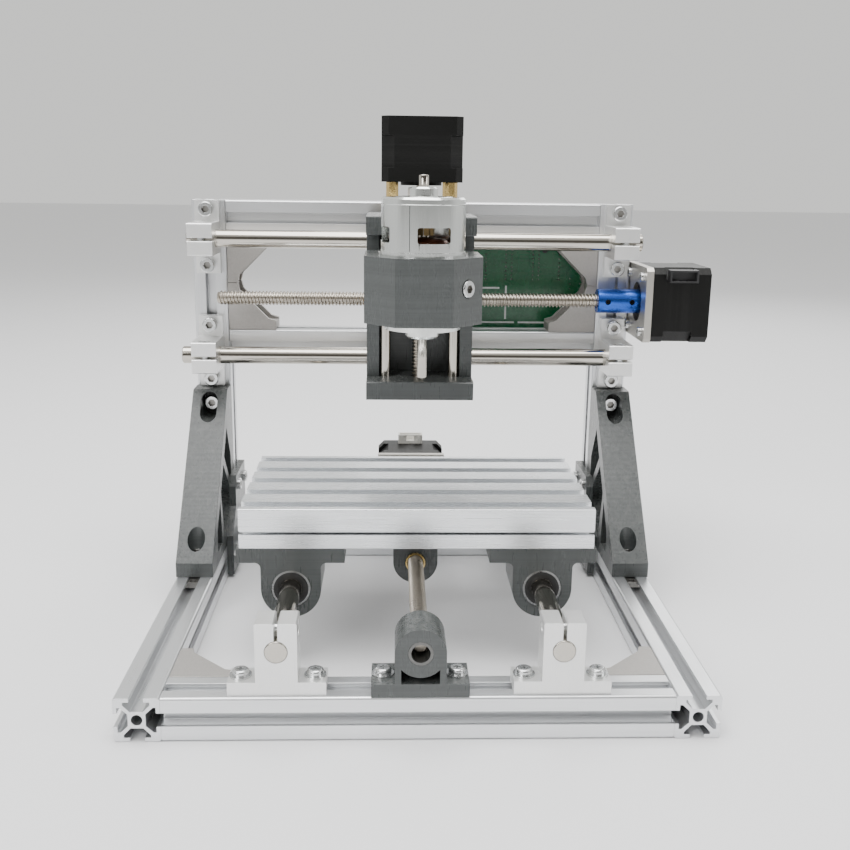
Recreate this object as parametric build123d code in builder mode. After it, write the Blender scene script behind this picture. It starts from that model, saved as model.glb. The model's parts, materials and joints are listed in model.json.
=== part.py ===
from build123d import *
import os

# Small three-axis cnc router. X runs along the gantry, Y runs from the front to the back, Z is up.
# Machine coordinates: X = 0 on the middle of the frame, Y = 0 on its front face, Z = 0 on the bench.

# Frame
frame_width = 260.0
frame_depth = 240.0
frame_height = 220.0
profile = 20.0
profile_corner = 1.2
slot_opening = 6.2
slot_lip = 1.8
slot_width = 11.4
slot_depth = 6.2
profile_bore = 4.8
beam_gap = 56.0
bracket_leg = 27.85
bracket_wall = 3.0
bracket_foot = 4.5
side_middle = frame_width / 2 - profile / 2
inner_side = frame_width / 2 - profile
gantry_front = frame_depth - profile
gantry_middle = frame_depth - profile / 2

# Rods, supports and bearings
rod_diameter = 10.0
support_width = 42.0
support_depth = 14.0
support_height = 32.8
support_centre = 20.0
support_base = 6.0
support_block = 18.0
support_slit = 1.6
support_hole_pitch = 32.0
bearing_diameter = 19.0
bearing_length = 29.0
y_rod_spacing = 122.0
y_rod_length = 237.0
y_rod_start = 1.5
y_support_inset = 9.0
x_rod_length = 260.0
rod_axis_z = profile + support_centre
rod_axis_y = gantry_front - support_centre
upper_rod_z = frame_height - support_width / 2
rod_pitch = 67.0
lower_rod_z = upper_rod_z - rod_pitch
x_screw_z = (upper_rod_z + lower_rod_z) / 2
fit = 0.05
gap = 0.4

# Lead screws, couplings and motors
screw_diameter = 8.0
nut_bore = screw_diameter + 0.4
nut_body = 10.2
nut_flange = 22.0
nut_flange_thick = 3.5
coupling_diameter = 14.0
coupling_length = 25.0
motor_side = 42.3
motor_length = 33.0
motor_hole_pitch = 31.0
motor_pilot = 22.0
motor_pilot_high = 1.8
motor_shaft = 5.0
motor_plate = 4.0

# Table
bed_width = 171.0
bed_depth = 96.0
bed_thick = 20.0
bed_front = 70.0
bed_bottom = 60.5
bed_slot_pitch = 20.0
bed_slot_opening = 7.4
bed_slot_width = 12.0
bed_slot_depth = 8.0
holder_flange_width = 52.0
holder_flange_thick = 7.0
holder_body_width = 29.0
holder_depth = 30.0
nut_holder_width = 23.0
nut_holder_depth = 18.0
nut_holder_front = 106.0

# Carriage and Z slide
carriage_x = 2.6
bearing_gap = 0.4
carriage_width = 2 * bearing_length + bearing_gap
carriage_bottom = lower_rod_z - 16.0
carriage_top = upper_rod_z + 15.5
carriage_plate = 10.0
carriage_front = 152.0
carriage_wall_front = 168.0
carriage_back_front = 186.0
carriage_rear = rod_axis_y + 14.0
bay_half = 22.4
z_axis_y = 171.0
z_rod_diameter = 6.0
z_rod_spacing = 38.0
standoff_length = 17.5
standoff_flats = 5.6
z_motor_bottom = carriage_top + standoff_length
slider_bottom = upper_rod_z - 35.0
slider_height = 33.0
slider_block_half = 21.0

# Spindle
spindle_y = 121.0
can_diameter = 42.0
can_bottom = slider_bottom - 3.7
can_length = 64.9
can_wall = 1.4
ring_diameter = 44.5
ring_rise = 2.0
nose_diameter = 38.5
lower_boss_diameter = 17.0
upper_boss_diameter = 14.0
boss_high = 4.8
spindle_shaft = 5.0
spindle_journal = 6.0
spindle_flat = 9.0
spindle_shaft_top = can_bottom + 75.7
spindle_shaft_bottom = can_bottom - 25.5
holder_front = 94.0

# Braces, foot plates and holders
brace_front = 134.7
brace_toe = 7.8
brace_top = 110.5
brace_top_y = 205.0
brace_skin = 8.0
brace_web = 7.0
brace_spine = 11.0
brace_seat_y = 213.0
brace_screw_z = 101.5
brace_bolt_y = 144.0
foot_plate = 4.0
brace_plate_hole = (206.0, 52.0)
screw_holder_depth = 20.0
screw_holder_radius = 11.0
holder_bush = 10.9
holder_pocket_wide = 16.4
holder_pocket_high = 7.0
holder_pocket_deep = 16.0
clamp_height = 28.0
upper_beam_z = frame_height - profile / 2
lower_beam_z = frame_height - profile - beam_gap - profile / 2

# Motor details, rods and screws along X, Y and Z
front_cap = 7.3
rear_cap = 9.5
motor_cap_gap = rear_cap - front_cap
cap_corner = 3.6
core_corner = 6.6
socket_width = 16.0
socket_high = 7.0
socket_out = 6.0
upper_rod_start = -129.0
x_screw_start = -113.0
x_coupling_start = 106.5
y_screw_start = 8.0
y_coupling_start = 213.0
z_coupling_bottom = carriage_top - 6.5
z_coupling_length = 21.0

# Controller board
board_left = 14.0
board_right = 112.0
board_bottom = lower_rod_z - 5.0
board_top = board_bottom + 90.0
board_thick = 1.6
board_y = frame_depth + 6
driver_spots = (48.0, 68.0, 88.0)
driver_z = board_bottom + 61.0

# Spindle windows and clamp screw
window_turns = (14, 104, 194, 284)
window_z = can_bottom + 47.0
window_wide = 16.6
window_high = 7.6

# The saved frame has its origin under the middle of the whole machine.
left_rod_end = -134.0
motor_face_x = frame_width / 2 + motor_plate
motor_face_y = frame_depth + motor_plate
shift_x = (left_rod_end + motor_face_x + motor_length) / 2
shift_y = (motor_face_y + motor_length) / 2


# Level sketch plane: local x is X, local y is Y, extrusions rise.
def top_plane(z):
    return Plane(origin=(-shift_x, -shift_y, z), x_dir=(1, 0, 0), z_dir=(0, 0, 1))


# Upright sketch plane across the machine: local x is X, local y is Z, extrusions come forward.
def front_plane(y):
    return Plane(origin=(-shift_x, y - shift_y, 0), x_dir=(1, 0, 0), z_dir=(0, -1, 0))


# Upright sketch plane along the machine: local x is Y, local y is Z, extrusions go right.
def side_plane(x):
    return Plane(origin=(x - shift_x, -shift_y, 0), x_dir=(0, 1, 0), z_dir=(1, 0, 0))


# A place for a repeated part: its local z points along facing, its local x along x_dir.
def place(x, y, z, facing=(0, 0, 1), x_dir=(1, 0, 0)):
    return Plane(origin=(x - shift_x, y - shift_y, z), x_dir=x_dir, z_dir=facing).location


up = (0, 0, 1)
down = (0, 0, -1)
right = (1, 0, 0)
left = (-1, 0, 0)
back = (0, 1, 0)
forward = (0, -1, 0)

# The clamp screw stands square on the right-hand slanted face of the spindle holder.
clamp_screw_place = place(
    carriage_x + 21.5,
    holder_front + 8,
    slider_bottom + slider_height * 0.55,
    (16, -15, 0),
    (15, 16, 0),
)


def slotted_bar(length):
    mouth = slot_opening / 2
    chamber = slot_width / 2
    lip = profile / 2 - slot_lip
    bottom = profile / 2 - slot_depth
    slot = [
        (-mouth, profile),
        (-mouth, lip),
        (-chamber, lip),
        (-chamber, lip - 1.2),
        (-mouth + 0.4, bottom),
        (mouth - 0.4, bottom),
        (chamber, lip - 1.2),
        (chamber, lip),
        (mouth, lip),
        (mouth, profile),
    ]
    with BuildPart() as bar:
        with BuildSketch():
            RectangleRounded(profile, profile, profile_corner)
            with PolarLocations(0, 4):
                Polygon(*slot, align=None, mode=Mode.SUBTRACT)
            Circle(profile_bore / 2, mode=Mode.SUBTRACT)
        extrude(amount=length)
    return bar.part


# Right-angle cast bracket: its corner is at the local origin, its legs run along local x and y.
def corner_bracket():
    inner = bracket_foot
    outline = [
        (0, 0),
        (bracket_leg, 0),
        (bracket_leg, inner + 1),
        (bracket_leg - 4.5, inner + 2.3),
        (inner + 2.3, bracket_leg - 4.5),
        (inner + 1, bracket_leg),
        (0, bracket_leg),
    ]
    with BuildPart() as bracket:
        with BuildSketch(Plane.XY.offset(-profile / 2)):
            Polygon(*outline, align=None)
        extrude(amount=profile)
        with BuildSketch(Plane.XY.offset(-profile / 2 + bracket_wall)):
            Polygon((inner, inner), (60, inner), (inner, 60), align=None)
        extrude(amount=profile - 2 * bracket_wall, mode=Mode.SUBTRACT)
        with Locations(Plane(origin=(15, 0, 0), x_dir=(1, 0, 0), z_dir=(0, 1, 0))):
            Hole(2.7, depth=40)
        with Locations(Plane(origin=(0, 15, 0), x_dir=(0, 1, 0), z_dir=(1, 0, 0))):
            Hole(2.7, depth=40)
    return bracket.part


# Rod support standing on its base: local x is its width, local y its depth, local z its height.
def rod_support():
    with BuildPart() as support:
        with BuildSketch(Plane.XZ.offset(-support_depth / 2)):
            with Locations((0, support_base / 2)):
                Rectangle(support_width, support_base)
            with Locations((0, support_height / 2)):
                Rectangle(support_block, support_height)
            with Locations((0, support_centre)):
                Circle(rod_diameter / 2, mode=Mode.SUBTRACT)
            with Locations((0, support_centre + 10)):
                Rectangle(support_slit, 20, mode=Mode.SUBTRACT)
        extrude(amount=support_depth)
        chamfer(support.edges().filter_by(Axis.Y).group_by(Axis.Z)[-1], 0.5)
        with Locations((-support_hole_pitch / 2, 0, support_base), (support_hole_pitch / 2, 0, support_base)):
            Hole(2.75, depth=support_base)
        across = Plane(origin=(support_block / 2, 0, clamp_height), x_dir=(0, 1, 0), z_dir=(1, 0, 0))
        with Locations(across):
            CounterBoreHole(radius=2.1, counter_bore_radius=3.6, counter_bore_depth=4, depth=support_block)
    return support.part


# Socket-head screw: the seat of its head is at the local origin and its head points along local z.
def socket_screw(size, length, head_high=None):
    high = head_high or size
    with BuildPart() as screw:
        with BuildSketch():
            Circle(size * 0.85)
        extrude(amount=high)
        chamfer(screw.edges().group_by(Axis.Z)[-1], size * 0.1)
        with BuildSketch(Plane.XY.offset(high)):
            RegularPolygon(size * 0.45, 6)
        extrude(amount=-high * 0.55, mode=Mode.SUBTRACT)
        with BuildSketch():
            Circle(size / 2 - 0.05)
        extrude(amount=-length)
    return screw.part


# Cross-recess pan-head screw on a round washer, laid out like the socket screw.
def pan_screw(size, length):
    with BuildPart() as screw:
        with BuildSketch():
            Circle(size * 1.2)
        extrude(amount=0.8)
        with BuildSketch(Plane.XY.offset(0.8)):
            Circle(size * 0.92)
        extrude(amount=size * 0.62)
        fillet(screw.edges().group_by(Axis.Z)[-1], size * 0.3)
        with BuildSketch(Plane.XY.offset(0.8 + size * 0.62)):
            Rectangle(size * 0.78, size * 0.2)
            Rectangle(size * 0.2, size * 0.78)
        extrude(amount=-size * 0.34, mode=Mode.SUBTRACT)
        with BuildSketch():
            Circle(size / 2 - 0.05)
        extrude(amount=-length)
    return screw.part


# Square stepper motor: its mounting face is on the local XY plane and its body runs along local -z.
def stepper_motor():
    with BuildPart() as motor:
        for start, thick, cut in (
            (0, front_cap, cap_corner),
            (-front_cap, motor_length - front_cap - rear_cap, core_corner),
            (front_cap - motor_length + motor_cap_gap, rear_cap, cap_corner),
        ):
            with BuildSketch(Plane.XY.offset(start)) as section:
                Rectangle(motor_side, motor_side)
                chamfer(section.vertices(), cut)
            extrude(amount=-thick)
        with BuildSketch():
            Circle(motor_pilot / 2)
            Circle(motor_shaft / 2 + 1.5, mode=Mode.SUBTRACT)
        extrude(amount=motor_pilot_high)
        with BuildSketch(Plane.XY.offset(motor_pilot_high)):
            Circle(motor_shaft / 2 + gap / 2)
        extrude(amount=-12, mode=Mode.SUBTRACT)
        with GridLocations(motor_hole_pitch, motor_hole_pitch, 2, 2):
            Hole(1.55, depth=5)
    return motor.part


# Wiring socket on a motor's flank: local z leaves the motor, local x runs along its width.
def motor_socket():
    with BuildPart() as socket:
        with BuildSketch():
            Rectangle(socket_width, socket_high)
        extrude(amount=socket_out)
        with BuildSketch(Plane.XY.offset(socket_out)):
            Rectangle(socket_width - 2, socket_high - 2)
        extrude(amount=-socket_out + 1.5, mode=Mode.SUBTRACT)
        with BuildSketch(Plane.XY.offset(socket_out - 0.5)):
            with Locations((0, -socket_high / 2)):
                Rectangle(5, 3)
        extrude(amount=-3.5, mode=Mode.SUBTRACT)
    return socket.part


# Shaft coupling along local z from the origin, with two rows of set-screw holes.
def shaft_coupling(length, large, small):
    with BuildPart() as coupling:
        with BuildSketch():
            Circle(coupling_diameter / 2)
            Circle(large / 2, mode=Mode.SUBTRACT)
        extrude(amount=length / 2)
        with BuildSketch(Plane.XY.offset(length / 2)):
            Circle(coupling_diameter / 2)
            Circle(small / 2, mode=Mode.SUBTRACT)
        extrude(amount=length / 2)
        chamfer(coupling.edges().group_by(Axis.Z)[0], 0.4)
        chamfer(coupling.edges().group_by(Axis.Z)[-1], 0.4)
        for height in (length * 0.22, length * 0.78):
            for turn in ((0, 90, 0), (-90, 0, 0)):
                with Locations(Location((0, 0, height), turn)):
                    Cylinder(1.6, 20, align=(Align.CENTER, Align.CENTER, Align.MIN), mode=Mode.SUBTRACT)
    return coupling.part


# Linear ball bearing with two ring grooves, centred on the local origin along local z.
def linear_bearing():
    with BuildPart() as bearing:
        with BuildSketch(Plane.XY.offset(-bearing_length / 2)):
            Circle(bearing_diameter / 2 - fit)
            Circle(rod_diameter / 2 + fit, mode=Mode.SUBTRACT)
        extrude(amount=bearing_length)
        for end in (-1, 1):
            with BuildSketch(Plane.XY.offset(end * (bearing_length / 2 - 3.8) - 0.65)):
                Circle(bearing_diameter / 2 + 1)
                Circle(bearing_diameter / 2 - 0.6, mode=Mode.SUBTRACT)
            extrude(amount=1.3, mode=Mode.SUBTRACT)
    return bearing.part


# Flanged screw nut: its flange sits on the local XY plane towards local z, its body runs along -z.
def flanged_nut(body_length):
    with BuildPart() as nut:
        with BuildSketch():
            Circle(nut_flange / 2)
            Circle(nut_bore / 2, mode=Mode.SUBTRACT)
            with PolarLocations(8, 4, start_angle=45):
                Circle(1.75, mode=Mode.SUBTRACT)
        extrude(amount=nut_flange_thick)
        with BuildSketch():
            Circle(nut_body / 2)
            Circle(nut_bore / 2, mode=Mode.SUBTRACT)
        extrude(amount=-body_length)
    return nut.part


def save(piece, name):
    piece.part.label = name
    export_step(piece.part, f"parts/{name}.step")


os.makedirs("parts", exist_ok=True)

# Profiles of the base, the uprights and the gantry
bar_places = {
    "side_profile_left": (frame_depth, [place(-side_middle, 0, profile / 2, back)]),
    "side_profile_right": (frame_depth, [place(side_middle, 0, profile / 2, back)]),
    "front_profile": (2 * inner_side, [place(-inner_side, profile / 2, profile / 2, right, back)]),
    "rear_profile": (2 * inner_side, [place(-inner_side, gantry_middle, profile / 2, right, back)]),
    "upright_left": (frame_height - profile, [place(-side_middle, gantry_middle, profile)]),
    "upright_right": (frame_height - profile, [place(side_middle, gantry_middle, profile)]),
    "upper_beam": (2 * inner_side, [place(-inner_side, gantry_middle, upper_beam_z, right, back)]),
    "lower_beam": (2 * inner_side, [place(-inner_side, gantry_middle, lower_beam_z, right, back)]),
}
for bar_name, (bar_length, bar_spots) in bar_places.items():
    blank = slotted_bar(bar_length)
    with BuildPart() as bar_piece:
        with Locations(*bar_spots):
            add(blank)
    save(bar_piece, bar_name)

# Cast brackets in the front corners of the base and round the gantry opening, with their screws
blank = corner_bracket()
corner_screw = socket_screw(5, 8)
base_corners = [(end, profile, 1) for end in (-1, 1)]
with BuildPart() as base_brackets:
    for end, y, dy in base_corners:
        facing = up if end * dy < 0 else down
        with Locations(place(end * inner_side, y, profile / 2, facing, (-end, 0, 0))):
            add(blank)
save(base_brackets, "base_brackets")

corner_heights = ((lower_beam_z + profile / 2, 1), (upper_beam_z - profile / 2, -1))
gantry_corners = [(end, z, dz) for end in (-1, 1) for z, dz in corner_heights]
with BuildPart() as gantry_brackets:
    for end, z, dz in gantry_corners:
        facing = forward if end * dz < 0 else back
        with Locations(place(end * inner_side, gantry_middle, z, facing, (-end, 0, 0))):
            add(blank)
save(gantry_brackets, "gantry_brackets")

with BuildPart() as bracket_screws:
    for end, y, dy in base_corners:
        foot = end * (inner_side - bracket_foot)
        with Locations(place(foot, y + dy * 15, profile / 2, (-end, 0, 0), up)):
            add(corner_screw)
        with Locations(place(end * (inner_side - 15), y + dy * bracket_foot, profile / 2, (0, dy, 0))):
            add(corner_screw)
    for end, z, dz in gantry_corners:
        foot = end * (inner_side - bracket_foot)
        with Locations(place(foot, gantry_middle, z + dz * 15, (-end, 0, 0), up)):
            add(corner_screw)
        with Locations(place(end * (inner_side - 15), gantry_middle, z + dz * bracket_foot, (0, 0, dz))):
            add(corner_screw)
save(bracket_screws, "bracket_screws")

# Printed braces from the side profiles up the front of the uprights
slope_run = brace_top_y - brace_front
slope_rise = brace_top - profile - brace_toe
brace_outline = [
    (brace_front, profile),
    (brace_front, profile + brace_toe),
    (brace_top_y, brace_top),
    (gantry_front, brace_top),
    (gantry_front, profile),
]


def slope_point(share, inward):
    length = (slope_run**2 + slope_rise**2) ** 0.5
    return (
        brace_front + slope_run * share + inward * slope_rise / length,
        profile + brace_toe + slope_rise * share - inward * slope_run / length,
    )


inner_low = profile + brace_web
inner_back = gantry_front - brace_spine
low_a, low_b = slope_point(0.2, brace_skin), slope_point(0.37, brace_skin)
mid_a, mid_b = slope_point(0.42, brace_skin), slope_point(0.58, brace_skin)
high_a, high_b = slope_point(0.63, brace_skin), slope_point(0.8, brace_skin)
truss_windows = [
    [low_a, low_b, (low_b[0] + 3, inner_low), (low_a[0], inner_low)],
    [mid_a, mid_b, (inner_back, inner_low + 17), (mid_a[0] + 8, inner_low)],
    [high_a, high_b, (inner_back, inner_low + 42), (inner_back, inner_low + 23)],
]
for end, brace_name in ((-1, "brace_left"), (1, "brace_right")):
    with BuildPart() as brace:
        with BuildSketch(side_plane(end * side_middle - profile / 2)):
            Polygon(*brace_outline, align=None)
            for window in truss_windows:
                Polygon(*window, align=None, mode=Mode.SUBTRACT)
        extrude(amount=profile)
        with BuildSketch(front_plane(brace_seat_y)):
            with Locations((end * side_middle, brace_screw_z)):
                SlotCenterToCenter(6, 9.4, rotation=90)
        extrude(amount=60, mode=Mode.SUBTRACT)
        with BuildSketch(front_plane(gantry_front)):
            with Locations((end * side_middle, brace_screw_z)):
                Circle(2.75)
        extrude(amount=60, mode=Mode.SUBTRACT)
        with BuildSketch(top_plane(profile + brace_web)):
            with Locations((end * side_middle, brace_bolt_y)):
                Circle(4.7)
        extrude(amount=60, mode=Mode.SUBTRACT)
        with BuildSketch(top_plane(profile)):
            with Locations((end * side_middle, brace_bolt_y)):
                Circle(2.75)
        extrude(amount=60, mode=Mode.SUBTRACT)
        with Locations(place(end * inner_side, brace_plate_hole[0], brace_plate_hole[1], (-end, 0, 0), up)):
            Hole(2.1, depth=3)
        chamfer(brace.edges().filter_by(Axis.X).group_by(Axis.Z)[-1], 0.8)
    save(brace, brace_name)

brace_screw = socket_screw(5, 9)
brace_bolt = socket_screw(5, 11)
with BuildPart() as brace_screws:
    for end in (-1, 1):
        with Locations(place(end * side_middle, brace_seat_y, brace_screw_z, forward)):
            add(brace_screw)
        with Locations(place(end * side_middle, brace_bolt_y, profile + brace_web)):
            add(brace_bolt)
save(brace_screws, "brace_screws")

# Brass nuts lying in the top slots in front of each brace
with BuildPart() as slot_nuts:
    for end in (-1, 1):
        with BuildSketch(top_plane(profile - slot_lip - 2)):
            with Locations((end * side_middle, brace_front - 1)):
                Rectangle(8.6, 10)
        extrude(amount=2)
        with BuildSketch(top_plane(profile - slot_lip)):
            with Locations((end * side_middle, brace_front - 1)):
                Rectangle(slot_opening - 0.4, 10)
        extrude(amount=1.2)
        with Locations(place(end * side_middle, brace_front - 4, profile - slot_lip + 1.2)):
            Hole(1.9, depth=8)
save(slot_nuts, "slot_nuts")

# Printed joining plates on the inner faces, from the side profiles to the uprights
plate_outline = [
    (184, 2),
    (gantry_front - 0.6, 2),
    (gantry_front - 0.6, profile + 0.6),
    (frame_depth - 2, profile + 0.6),
    (frame_depth - 2, 58),
    (203, 58),
    (199, 52),
    (199, 40),
    (184, 26),
]
foot_holes = [(192, 10), (210, 10), (gantry_middle, 30), (gantry_middle, 50), brace_plate_hole]
with BuildPart() as foot_plates:
    for end in (-1, 1):
        with BuildSketch(side_plane(inner_side * end if end < 0 else inner_side - foot_plate)):
            Polygon(*plate_outline, align=None)
            for hole_y, hole_z in foot_holes:
                with Locations((hole_y, hole_z)):
                    Circle(2.2, mode=Mode.SUBTRACT)
        extrude(amount=foot_plate)
save(foot_plates, "foot_plates")

# Rod supports, rods and their screws
blank = rod_support()
y_support_rows = (y_support_inset, frame_depth - y_support_inset)
y_support_spots = [(x, y) for y in y_support_rows for x in (-y_rod_spacing / 2, y_rod_spacing / 2)]
with BuildPart() as y_rod_supports:
    for x, y in y_support_spots:
        with Locations(place(x, y, profile)):
            add(blank)
save(y_rod_supports, "y_rod_supports")

x_support_spots = [(x, z) for x in (-side_middle, side_middle) for z in (upper_rod_z, lower_rod_z)]
with BuildPart() as x_rod_supports:
    for x, z in x_support_spots:
        with Locations(place(x, gantry_front, z, forward, up)):
            add(blank)
save(x_rod_supports, "x_rod_supports")

with BuildPart() as y_rods:
    for x in (-y_rod_spacing / 2, y_rod_spacing / 2):
        with BuildSketch(front_plane(y_rod_start + y_rod_length)):
            with Locations((x, rod_axis_z)):
                Circle(rod_diameter / 2)
        extrude(amount=y_rod_length)
    chamfer(y_rods.edges().filter_by(GeomType.CIRCLE), 0.6)
save(y_rods, "y_rods")

with BuildPart() as x_rods:
    for start, z in ((upper_rod_start, upper_rod_z), (left_rod_end, lower_rod_z)):
        with BuildSketch(side_plane(start)):
            with Locations((rod_axis_y, z)):
                Circle(rod_diameter / 2)
        extrude(amount=x_rod_length)
    chamfer(x_rods.edges().filter_by(GeomType.CIRCLE), 0.6)
save(x_rods, "x_rods")

# Lead-screw holder on the front profile
with BuildPart() as screw_holder:
    with BuildSketch(front_plane(screw_holder_depth)):
        with Locations((0, profile + support_base / 2)):
            Rectangle(support_width, support_base)
        with Locations((0, (profile + rod_axis_z) / 2)):
            Rectangle(2 * screw_holder_radius, rod_axis_z - profile)
        with Locations((0, rod_axis_z)):
            Circle(screw_holder_radius)
            Circle(holder_bush / 2, mode=Mode.SUBTRACT)
    extrude(amount=screw_holder_depth)
    with BuildSketch(front_plane(holder_pocket_deep)):
        with Locations((0, profile + support_base + holder_pocket_high / 2)):
            Rectangle(holder_pocket_wide, holder_pocket_high)
        with Locations((0, rod_axis_z)):
            Circle(screw_holder_radius, mode=Mode.SUBTRACT)
    extrude(amount=holder_pocket_deep, mode=Mode.SUBTRACT)
    with Locations(*[place(x, screw_holder_depth / 2, profile + support_base) for x in (-16, 16)]):
        Hole(2.75, depth=support_base)
save(screw_holder, "screw_holder")

with BuildPart() as screw_bush:
    with BuildSketch(front_plane(screw_holder_depth)):
        with Locations((0, rod_axis_z)):
            Circle(holder_bush / 2 - fit)
            Circle(screw_diameter / 2 + fit, mode=Mode.SUBTRACT)
    extrude(amount=screw_holder_depth)
save(screw_bush, "screw_bush")

board_holes = [(x, z) for x in (board_left + 4, board_right - 4) for z in (lower_beam_z, upper_beam_z)]
support_screw = pan_screw(4, 9)
board_screw = pan_screw(3, 6)
with BuildPart() as pan_screws:
    for x, y in y_support_spots:
        for side in (-support_hole_pitch / 2, support_hole_pitch / 2):
            with Locations(place(x + side, y, profile + support_base)):
                add(support_screw)
    for x in (-16, 16):
        with Locations(place(x, screw_holder_depth / 2, profile + support_base)):
            add(support_screw)
    for x, z in board_holes:
        with Locations(place(x, board_y + board_thick, z, back)):
            add(board_screw)
save(pan_screws, "pan_screws")

tab_screw = socket_screw(5, 9)
plate_screw = socket_screw(4, 6, 2.4)
with BuildPart() as socket_screws:
    for x, z in x_support_spots:
        for side in (-support_hole_pitch / 2, support_hole_pitch / 2):
            with Locations(place(x, gantry_front - support_base, z + side, forward)):
                add(tab_screw)
    for end in (-1, 1):
        for hole_y, hole_z in foot_holes:
            with Locations(place(end * (inner_side - foot_plate), hole_y, hole_z, (-end, 0, 0), up)):
                add(plate_screw)
save(socket_screws, "socket_screws")

clamp_screw = socket_screw(4, 13.5, 3.8)
with BuildPart() as clamp_screws:
    for x, y in y_support_spots:
        with Locations(place(x + support_block / 2 - 4, y, profile + clamp_height, right, up)):
            add(clamp_screw)
    for x, z in x_support_spots:
        with Locations(place(x, gantry_front - clamp_height, z + support_block / 2 - 4)):
            add(clamp_screw)
save(clamp_screws, "clamp_screws")

# Motors that stay on the frame
blank = stepper_motor()
with BuildPart() as x_motor:
    with Locations(place(motor_face_x, rod_axis_y, x_screw_z, left, up)):
        add(blank)
save(x_motor, "x_motor")

with BuildPart() as y_motor:
    with Locations(place(0, motor_face_y, rod_axis_z, forward)):
        add(blank)
save(y_motor, "y_motor")

half = motor_side / 2
socket_blank = motor_socket()
with BuildPart() as motor_sockets:
    with Locations(place(motor_face_x + 16, rod_axis_y - half, x_screw_z + half - 4.2, forward)):
        add(socket_blank)
    with Locations(place(0, motor_face_y + motor_length - 6, rod_axis_z + half, up)):
        add(socket_blank)
save(motor_sockets, "motor_sockets")

with BuildPart() as x_motor_bracket:
    with BuildSketch(side_plane(frame_width / 2)):
        with Locations(((rod_axis_y - half - 1 + frame_depth) / 2, x_screw_z)):
            Rectangle(frame_depth - rod_axis_y + half + 1, motor_side)
        with Locations((rod_axis_y, x_screw_z)):
            Circle(motor_pilot / 2 + 0.3, mode=Mode.SUBTRACT)
            with GridLocations(motor_hole_pitch, motor_hole_pitch, 2, 2):
                Circle(1.7, mode=Mode.SUBTRACT)
        with Locations((gantry_middle, x_screw_z - 13), (gantry_middle, x_screw_z + 13)):
            Circle(2.7, mode=Mode.SUBTRACT)
    extrude(amount=motor_plate)
    chamfer(x_motor_bracket.edges().filter_by(Axis.X).group_by(Axis.Y)[0], 2)
save(x_motor_bracket, "x_motor_bracket")

with BuildPart() as y_motor_bracket:
    with BuildSketch(front_plane(motor_face_y)):
        with Locations((0, (rod_axis_z + half + 2) / 2)):
            Rectangle(motor_side, rod_axis_z + half - 2)
        with Locations((0, rod_axis_z)):
            Circle(motor_pilot / 2 + 0.3, mode=Mode.SUBTRACT)
            with GridLocations(motor_hole_pitch, motor_hole_pitch, 2, 2):
                Circle(1.7, mode=Mode.SUBTRACT)
        with Locations((-14, profile / 2), (14, profile / 2)):
            Circle(2.7, mode=Mode.SUBTRACT)
    extrude(amount=motor_plate)
save(y_motor_bracket, "y_motor_bracket")

motor_screw = socket_screw(3, 6.5, 2.4)
frame_screw = socket_screw(5, 8, 2.8)
hole_offset = motor_hole_pitch / 2
with BuildPart() as motor_screws:
    for a in (-hole_offset, hole_offset):
        for b in (-hole_offset, hole_offset):
            with Locations(place(frame_width / 2, rod_axis_y + a, x_screw_z + b, left, up)):
                add(motor_screw)
            if b > 0:
                with Locations(place(a, frame_depth, rod_axis_z + b, forward)):
                    add(motor_screw)
    for b in (-13, 13):
        with Locations(place(motor_face_x, gantry_middle, x_screw_z + b, right, up)):
            add(frame_screw)
    for a in (-14, 14):
        with Locations(place(a, motor_face_y, profile / 2, back)):
            add(frame_screw)
save(motor_screws, "motor_screws")

# Controller board behind the gantry
with BuildPart() as board_spacers:
    for x, z in board_holes:
        with BuildSketch(front_plane(board_y)):
            with Locations((x, z)):
                RegularPolygon(3.2, 6)
                Circle(1.55, mode=Mode.SUBTRACT)
        extrude(amount=board_y - frame_depth)
save(board_spacers, "board_spacers")

with BuildPart() as controller_board:
    with BuildSketch(front_plane(board_y + board_thick)):
        with Locations(((board_left + board_right) / 2, (board_bottom + board_top) / 2)):
            RectangleRounded(board_right - board_left, board_top - board_bottom, 2)
        for x, z in board_holes:
            with Locations((x, z)):
                Circle(1.6, mode=Mode.SUBTRACT)
        for x in (board_left + 60, board_left + 70):
            with Locations((x, board_top - 25)):
                Circle(1.5, mode=Mode.SUBTRACT)
    extrude(amount=board_thick)
save(controller_board, "controller_board")

board_back = board_y + board_thick
with BuildPart() as board_chips:
    for x in driver_spots:
        with BuildSketch(front_plane(board_back + 8.5)):
            with Locations((x, driver_z)):
                Rectangle(15.2, 20.3)
        extrude(amount=8.5)
    with BuildSketch(front_plane(board_back + 7)):
        with Locations((board_left + 17, board_bottom + 32)):
            Rectangle(18, 43)
    extrude(amount=7)
save(board_chips, "board_chips")

with BuildPart() as heat_sinks:
    for x in driver_spots:
        with BuildSketch(front_plane(board_back + 10)):
            with Locations((x, driver_z)):
                Rectangle(9, 9)
        extrude(amount=1.5)
        for fin in (-3.6, -1.2, 1.2, 3.6):
            with BuildSketch(front_plane(board_back + 15)):
                with Locations((x + fin, driver_z)):
                    Rectangle(1, 9)
            extrude(amount=5)
save(heat_sinks, "heat_sinks")

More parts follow.
